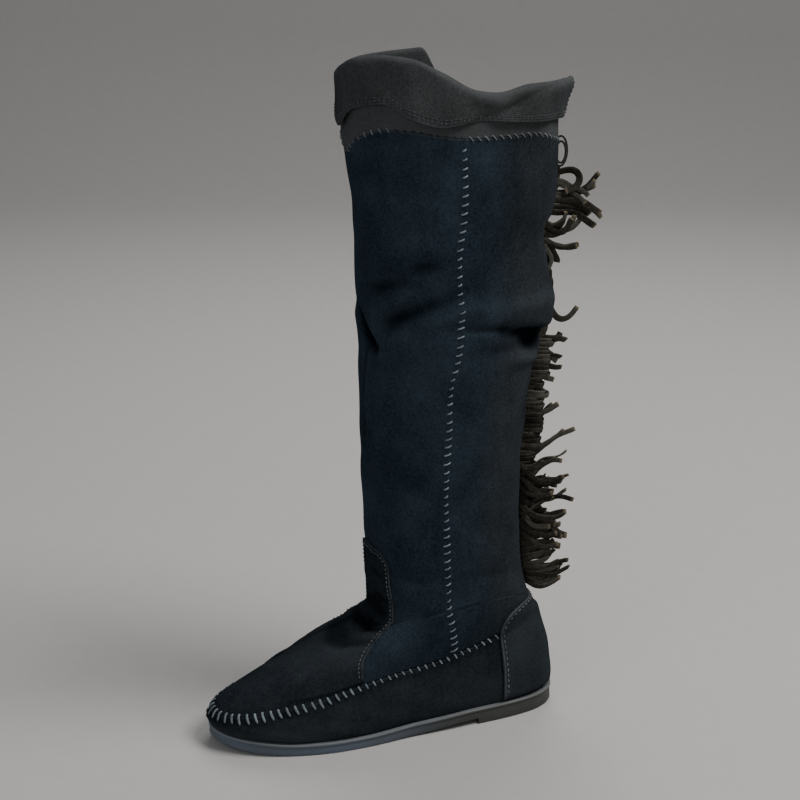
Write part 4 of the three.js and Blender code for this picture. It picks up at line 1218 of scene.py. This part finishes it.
def counter_grid(last, turns, share):
    """Levels and columns of the counter: its top falls from the back along a rounded corner."""
    ankle = last.instep_height + last.ankle_tilt
    back = 1 + (last.counter_height - last.wall_height) / (ankle - last.wall_height)
    fall = 1 - np.sqrt(1 - np.clip(np.abs(turns) / COUNTER_HALF, 0, 1) ** 2.6 * 0.995)
    level = mix(COUNTER_FOOT, mix(back, COUNTER_FRONT, fall)[None], share[:, None])
    column = np.where(turns <= 0, AT_BACK + turns, turns - AT_BACK)
    return level, np.broadcast_to(column[None], level.shape)


def cuff_section(last, angle):
    """Off-distance and height of the cuff's section: a Catmull-Rom curve through its points.

    Its parameter runs 0 to 2 up the band, to 6 over the turned edge and to 8 down the flap."""
    seam, hem, crest, lean = last.collar(angle)
    inside = -last.leather
    off = [np.full_like(angle, inside / 2), mix(inside / 2, lean, 0.18)]
    high = [seam + 0.0005, mix(seam, crest, 0.45)]
    for out, drop in CUFF_EDGE:
        off.append(lean + mix(inside, last.cuff_fall, out))
        high.append(crest - drop * last.cuff_turn)
    off += [last.cuff_fall + lean * 0.5, last.cuff_fall + lean * 0.15]
    high += [mix(crest, hem, 0.6), hem]
    p = np.stack([np.array(off), np.array(high)], -1)
    padded = np.concatenate([2 * p[:1] - p[1:2], p, 2 * p[-1:] - p[-2:-1]])
    at = np.concatenate([np.linspace(0, 2, 13), np.linspace(2, 6, 21)[1:],
                         np.linspace(6, 8, 22)[1:]])
    k = np.minimum(at.astype(int), 7)
    t = (at - k)[:, None, None]
    p0, p1, p2, p3 = (padded[k + i] for i in range(4))
    curve = 0.5 * (2 * p1 + (p2 - p0) * t + (2 * p0 - 5 * p1 + 4 * p2 - p3) * t ** 2
                   + (3 * p1 - p0 - 3 * p2 + p3) * t ** 3)
    return curve[..., 0], curve[..., 1], at


def cuff_layers(last, angle):
    """The cuff's two faces, half its leather to both sides of the section.

    The first looks outwards on the band and inwards on the flap."""
    off, high, at = cuff_section(last, angle)
    deg, row = turn(angle)[None] / DEG, at[:, None]
    wave = 0.0009 * np.sin(deg * 0.11 + row * 0.9) + 0.0006 * np.sin(deg * 0.27 - row)
    crease = -0.0016 * hump((deg - 118) + (row - 6.2) * 14, 7)
    off = off + (wave + crease) * soft((row - 4) / 3)
    run = np.stack([np.gradient(off, axis=0), np.gradient(high, axis=0)], -1)
    run = unit(run) * last.leather / 2
    wide = np.broadcast_to(angle[None], off.shape)
    outer = last.off_ring(wide, high - run[..., 0], off + run[..., 1])
    inner = last.off_ring(wide, high + run[..., 0], off - run[..., 1])
    return outer, inner, at


class BOOT_OT_cuff(bpy.types.Operator):
    """Cuff: a band on the leg's top, folded over outwards, with its ends apart at the back"""

    bl_idname = "boot.cuff"
    bl_label = "Cuff"

    def execute(self, context):
        """The section carried round the leg's top, with slow waves in the flap."""
        last = Last(context.scene.boot_sizes)
        column = np.linspace(-AT_BACK + 0.35, AT_BACK - 0.35, 289)
        outer, inner, at = cuff_layers(last, last.collar_angle(column))
        row = np.broadcast_to(at[:, None], outer.shape[:2])
        end = np.minimum(column - column[0], column[-1] - column)[None] * CUFF_COLUMN
        hem = (8 - row) * 0.010
        # Painted shade on the band under the flap; the band is also painted paler against that
        # shadow, and the turned crest is paler with wear.
        piece = sheet("cuff_leather", outer, inner, marks={
            "cut": np.maximum(edge_mark(hem, 0.0012) * 0.4, edge_mark(end, 0.0012) * (row > 2)),
            "rub": 0.75 * hump(row - 4.6, 1.1) + 0.9 * soft((2.2 - row) / 1.2),
            "shade": 0.12 * soft((3.0 - row) / 1.6)})
        settle(piece, "suede_cuff", ("cuff",))
        return {"FINISHED"}


class BOOT_OT_fringe(bpy.types.Operator):
    """Fringe down the back seam: a stem and its tangled strips"""

    bl_idname = "boot.fringe"
    bl_label = "Fringe"

    def execute(self, context):
        """Each strip is the running sum of steps whose two headings turn from root to tip."""
        last = Last(context.scene.boot_sizes)
        rows = np.repeat(FRINGE, FRINGE[:, 2].astype(int), axis=0)
        place = np.concatenate([(np.arange(row[2]) + 0.5) / row[2] for row in FRINGE])
        count = len(rows)
        a, b, c, d = (scatter(np.arange(count) * 1.7 + k)[:, None] for k in (1, 41, 81, 121))
        high = mix(rows[:, 0], rows[:, 1], place) * last.shaft_height
        root = last.skin(last.level_of(high), np.full(count, math.pi))
        root[:, 1] += last.stem * 0.35
        t = np.linspace(0, 1, 26)[None]
        reach, rise, bend, side, curl, loose = (rows[:, k, None] for k in range(3, 9))
        late = soft((t - 0.12) / 0.88)
        tilt = rise + (b - 0.5) * loose * mix(0.6, 2.0, t) + bend * late * (0.6 + 0.8 * c)
        sway = side + (c - 0.5) * loose * mix(0.5, 1.6, t) + curl * late * (0.7 + 0.6 * d)
        tilt = (tilt + (3 + 0.4 * loose) * np.sin(10 * t + 20 * d)) * DEG
        sway = (sway + (2 + 0.3 * loose) * np.sin(8 * t + 20 * a)) * DEG
        back, up = np.cos(tilt), np.sin(tilt)
        ahead = np.stack([np.sin(sway), np.cos(sway) * back, np.cos(sway) * up], -1)
        step = last.strip_length * reach * (0.80 + 0.34 * a) / t.shape[1]
        paths = root[:, None] + np.cumsum(ahead * step[..., None], axis=1)
        turned = ((d - 0.5) * 24 + (b - 0.5) * loose * 3.0 * t + 16) * DEG
        flat = np.stack([np.cos(sway), -np.sin(sway) * back, -np.sin(sway) * up], -1)
        lie = np.cross(ahead, flat)
        normals = flat * np.cos(turned)[..., None] + lie * np.sin(turned)[..., None]
        wide = last.strip_wide * (0.80 + 0.45 * d[:, 0])
        strips = swept("fringe_strips", paths, normals, wide, last.strip_thick,
                       sides=8, square=0.45, blunt=0.92)
        settle(strips, "suede_fringe", ("fringe",))

        high = np.linspace(FRINGE[0, 0], STEM_TOP, 140) * last.shaft_height
        line = last.skin(last.level_of(high), np.full(140, math.pi))
        ripple = 0.0007 * np.sin(high * 900) + 0.0005 * np.sin(high * 340)
        edge = np.array([last.gap, last.stem * 0.4, last.stem * 0.8, last.stem])
        half_thick = 0.00085
        outer = line[:, None] + np.stack(np.broadcast_arrays(
            half_thick + ripple[:, None] * edge[None] / last.stem, edge[None], 0.0), -1)
        stem = sheet("fringe_stem", outer, outer - np.array([2 * half_thick, 0, 0]))
        settle(stem, "suede_fringe", ("fringe",))
        return {"FINISHED"}


class BOOT_OT_lacing(bpy.types.Operator):
    """Whipped lacing of the moccasin seam, the side seams and the cuff's seam"""

    bl_idname = "boot.lacing"
    bl_label = "Lacing"

    def over(self, last, level, angle, up, across, lift, sink, name, below=0.5):
        """Laces over a seam at levels and angles: ends a way below and above, middle lifted.

        Stitches up_full metres tall have a lace of the full width; others a share of it."""
        e, up_full = 0.002, 0.0070
        rate = np.linalg.norm(last.skin(level, angle + e) - last.skin(level, angle), axis=-1) / e
        half = across / rate / 2
        out = last.normal(level, angle)
        relief = last.leg_relief(np.maximum(level, 1.5), angle) * (level > 1.5)
        low, high = (last.lifted(last.gone(level, angle, way), angle + aside, relief - sink)
                     for way, aside in ((-up * below, -half), (up - up * below, half)))
        middle = last.lifted(level, angle, relief + lift)
        wide = last.lace_wide * np.clip(up / up_full if np.ndim(up) else 0.75, 0.75, 1.10)
        settle(whipped(name, low, middle, high, out, wide, wide * 0.5), "lace")

    def ring(self, last, angle, long, lift, wide, name, tint):
        """Upright laces over the seam under the cuff, leaning a little back."""
        seam = last.collar(angle)[0]
        nudge = 0.0009 / (last.leg_width / 2)
        zero = np.zeros_like(angle)
        low = last.off_ring(angle + nudge, seam - long * 0.50, zero - 0.0003)
        high = last.off_ring(angle - nudge, seam + long * 0.50, zero - 0.0004)
        middle = last.off_ring(angle, seam + 0.0003, zero + lift)
        out = unit(last.off_ring(angle, seam, zero + 0.01) - last.off_ring(angle, seam, zero))
        settle(whipped(name, low, middle, high, out, wide, wide * 0.65), tint)

    def loop(self, last):
        """Slack loops of lace at the back of the cuff's seam: ellipses left open at the seam."""
        turns = np.linspace(-2.6, 2.6, 40)
        deep, tall, sizes = 0.0052, 0.0105, np.array([1.0, 0.72])
        seam = last.collar(np.array([math.pi]))[0]
        foot = last.off_ring(np.array([3.05, 2.98]), np.repeat(seam, 2) - 0.0045, np.zeros(2))
        drop = np.stack([np.zeros(40), deep * (np.cos(turns) + 0.70), tall * np.sin(turns)], -1)
        paths = foot[:, None] + drop[None] * sizes[:, None, None]
        across = np.broadcast_to(np.array([1.0, 0.0, 0.0]), paths.shape)
        settle(swept("cuff_loop", paths, across, 0.0016, 0.0011, sides=8), "suede_cuff")

    def execute(self, context):
        """Stations at equal arc lengths along each seam, with small seeded unevenness."""
        last = Last(context.scene.boot_sizes)
        fine, index, count = last.seam_angle(last.lace_pitch)
        at = np.arange(count) + 0.5 + (scatter(np.arange(count)) - 0.5) * 0.16
        angle = np.interp(at, index, fine)
        ahead = soft((np.cos(angle) - 0.05) / 0.45)
        long = mix(0.0046, 0.0082, ahead) * (0.9 + 0.2 * scatter(np.arange(count) + 9))
        lean = mix(0.0030, 0.0048, ahead) * np.clip(-angle / 0.55, -1, 1)
        self.over(last, np.full_like(angle, 1.0008), angle, long, lean, 0.0007, -0.0002,
                  "toe_lacing", 0.60)
        across_seam = 0.0054
        for side, name in ((1, "side_lacing_lateral"), (-1, "side_lacing_medial")):
            levels = np.linspace(1.02, 2.999, 400)
            column = float(AT_SEAM * side)
            angles = last.column_angle(np.full(400, column), levels)
            keep = levels < last.level_of(last.collar(angles)[0])
            line = last.skin(levels, angles)[keep]
            arc, centres = stations(line, last.lace_pitch * 1.03, 0.002)
            jitter = (scatter(np.arange(len(centres)) + 5 * side) - 0.5) * 0.0010
            level = np.interp(centres + jitter, arc, levels[keep])
            angle = last.column_angle(np.full_like(level, column), level)
            taut = 0.74 + 0.20 * np.sin(centres * 78 + side) + 0.24 * scatter(
                np.arange(len(centres)) + 31)
            long = across_seam * taut
            self.over(last, level, angle, long.mean() * 0.36, long * side, 0.0011, 0.0001, name)
        column = np.linspace(-AT_BACK + 0.8, AT_BACK - 0.8, 600)
        angles = last.collar_angle(column)
        line = last.off_ring(angles, last.collar(angles)[0], np.zeros(600))
        arc, centres = stations(line, last.lace_pitch * 0.95)
        angle = np.interp(centres, arc, angles)
        deg = turn(angle) / DEG
        bare = (deg > 46) & (deg < 85)
        self.ring(last, angle[~bare], 0.0037, 0.0006, last.lace_wide * 0.58, "cuff_lacing",
                  "thread")
        # The bare awl holes are dark lumps, painted shade of the holes.
        self.ring(last, angle[bare], 0.0018, 0.0003, 0.0013, "cuff_holes", "awl_hole")
        self.loop(last)
        return {"FINISHED"}


class BOOT_OT_topstitch(bpy.types.Operator):
    """Topstitching of the tab, the counter and the cuff"""

    bl_idname = "boot.topstitch"
    bl_label = "Topstitching"

    def execute(self, context):
        """Rows of short stitches a set distance inside each cut edge."""
        last = Last(context.scene.boot_sizes)
        lines = []
        for side in (1, -1):
            rise = np.linspace(1.16, 1.98, 60)
            edge = AT_TAB - 0.42
            tab = mix(2, last.tab_top(np.full(30, edge)) - 0.012, np.linspace(0, 1, 30))
            over = np.linspace(edge, 0, 30)
            level = np.concatenate([rise, tab[1:-4], last.tab_top(over) - 0.007])
            low = AT_TAB - mix(0.18, 0.42, soft((rise - 1.2) / 0.78))
            column = np.concatenate([low, np.full(25, edge), over]) * side
            angle = last.column_angle(column, level)
            up = sum(last.vamp_relief(level, angle, column))
            lines.append((last.lifted(level, angle, last.lap + up), last.normal(level, angle)))
        settle(topstitch("tab_stitching", lines, 0.0032, 0.0020, last.thread), "thread")

        inside, half_round = 0.0028, 0.095
        ends = np.full(40, float(COUNTER_HALF))
        turns = np.concatenate([-ends, np.linspace(-COUNTER_HALF, COUNTER_HALF, 160), ends])
        rise = np.linspace(0.04, 1, 40)
        share = np.concatenate([rise, np.ones(160), np.linspace(1, 0.04, 40)])
        level, column = counter_grid(last, turns * (1 - inside / half_round), np.array([0.0, 1.0]))
        foot, top = last.skin(level, last.column_angle(column, level))
        tall = np.linalg.norm(top - foot, axis=-1)
        level = mix(level[0], level[1], np.minimum(share, 1 - inside / tall))
        angle = last.column_angle(column[0], level)
        line = last.lifted(level, angle, COUNTER_GAP + last.leather)
        settle(topstitch("counter_stitching", [(line, last.normal(level, angle))], 0.0043, 0.0027,
                         last.thread * 1.25), "thread")

        column = np.linspace(-AT_BACK + 0.62, AT_BACK - 0.62, 500)
        under, face, at = cuff_layers(last, last.collar_angle(column))
        normals = unit(face - under)
        lines = []
        for inside in (0.0022, 0.0038):
            row = np.interp(8 - inside / FLAP_STEP, at, np.arange(len(at)))
            k, t = int(row), row - int(row)
            lines.append((mix(face[k], face[k + 1], t), mix(normals[k], normals[k + 1], t)))
        for far in (2, 5, -3, -6):
            lines.append((face[22:-2, far], normals[22:-2, far]))
        settle(topstitch("cuff_stitching", lines, 0.0032, 0.0017, last.thread * 0.85),
               "hem_thread")
        return {"FINISHED"}


class BOOT_OT_stage(bpy.types.Operator):
    """Pale floor, soft lights and the camera"""

    bl_idname = "boot.stage"
    bl_label = "Stage"

    def execute(self, context):
        """A floor that curves up behind along a quarter circle, three soft lights, a long lens."""
        scene = context.scene
        across = np.linspace(-6, 6, 9)
        turn_up, radius = np.linspace(0, math.pi / 2, 13), 1.2
        run = np.concatenate([[-4.0, -2.0, 0.0, 1.6], 2.0 + radius * np.sin(turn_up), [3.2]])
        rise = np.concatenate([np.zeros(4), radius * (1 - np.cos(turn_up)), [5.0]])
        away = np.array([-0.9354, 0.3536])  # from the camera to the boot, on the floor
        along_x = np.array([away[1], -away[0]])
        ground = run[:, None, None] * away + across[None, :, None] * along_x
        rows, columns = ground.shape[:2]
        high = np.broadcast_to(rise[:, None, None], (rows, columns, 1))
        points = np.concatenate([ground, high], -1)
        index = np.arange(rows * columns).reshape(rows, columns)
        faces = np.stack([index[:-1, :-1], index[:-1, 1:], index[1:, 1:], index[1:, :-1]], -1)
        floor = mesh_piece("studio_floor", points, faces.reshape(-1, 4))
        floor.data.materials.append(material("studio_floor"))

        camera = new_object("camera", bpy.data.cameras.new("camera"))
        place, aim = (1.1691, -0.5358, 0.6206), (0.0, -0.0853, 0.2460)
        camera.location = place
        camera.rotation_euler = track(place, aim)
        camera.data.lens = 82.9
        camera.data.sensor_width = 36
        camera.data.clip_end = 30
        scene.camera = camera
        for name, where, size, power, tint in (
                ("key_light", (0.8, 0.9, 2.0), 1.1, 40, (1.0, 0.98, 0.96)),
                ("fill_light", (1.3, -1.7, 1.1), 1.8, 9, (0.92, 0.96, 1.0)),
                ("back_light", (-1.2, 0.5, 1.6), 1.2, 12, (1.0, 1.0, 1.0))):
            lamp = new_object(name, bpy.data.lights.new(name, "AREA"))
            lamp.data.shape = "DISK"
            lamp.data.size = size
            lamp.data.energy = power
            lamp.data.color = tint
            lamp.location = where
            lamp.rotation_euler = track(where, (0.0, -0.05, 0.22))
        world = bpy.data.worlds.new("soft_room")
        world.use_nodes = True
        back = world.node_tree.nodes["Background"]
        back.inputs["Color"].default_value = (0.80, 0.82, 0.85, 1)
        back.inputs["Strength"].default_value = 0.22
        scene.world = world
        return {"FINISHED"}


def track(place, aim):
    """Euler turn that points -Z from a place to an aim with +Y up."""
    return mathutils.Vector(np.subtract(aim, place)).to_track_quat("-Z", "Y").to_euler()


class BOOT_PT_panel(bpy.types.Panel):
    """Lists the boot's pieces, sizes and colours"""

    bl_label = "Moccasin boot"
    bl_space_type = "VIEW_3D"
    bl_region_type = "UI"
    bl_category = "Boot"

    def draw(self, context):
        """Buttons for the pieces, then the sizes and colours."""
        for operator in OPERATORS:
            self.layout.operator(operator.bl_idname)
        for group in (context.scene.boot_sizes, context.scene.boot_colours):
            box = self.layout.box()
            for name in type(group).__annotations__:
                box.prop(group, name)


OPERATORS = (BOOT_OT_stage, BOOT_OT_outsole, BOOT_OT_insole, BOOT_OT_foot, BOOT_OT_leg,
             BOOT_OT_counter, BOOT_OT_cuff, BOOT_OT_fringe, BOOT_OT_lacing, BOOT_OT_topstitch)
CLASSES = (BootSizes, BootColours, *OPERATORS, BOOT_PT_panel)


def register():
    """Registers the classes and hangs the two groups on the scene."""
    for entry in CLASSES:
        bpy.utils.register_class(entry)
    bpy.types.Scene.boot_sizes = bpy.props.PointerProperty(type=BootSizes)
    bpy.types.Scene.boot_colours = bpy.props.PointerProperty(type=BootColours)


def unregister():
    """Takes the groups and classes away again."""
    del bpy.types.Scene.boot_sizes
    del bpy.types.Scene.boot_colours
    for entry in reversed(CLASSES):
        bpy.utils.unregister_class(entry)


def main():
    """Builds every piece in order."""
    register()
    for operator in OPERATORS:
        group, name = operator.bl_idname.split(".")
        getattr(getattr(bpy.ops, group), name)()


if __name__ == "__main__":
    main()
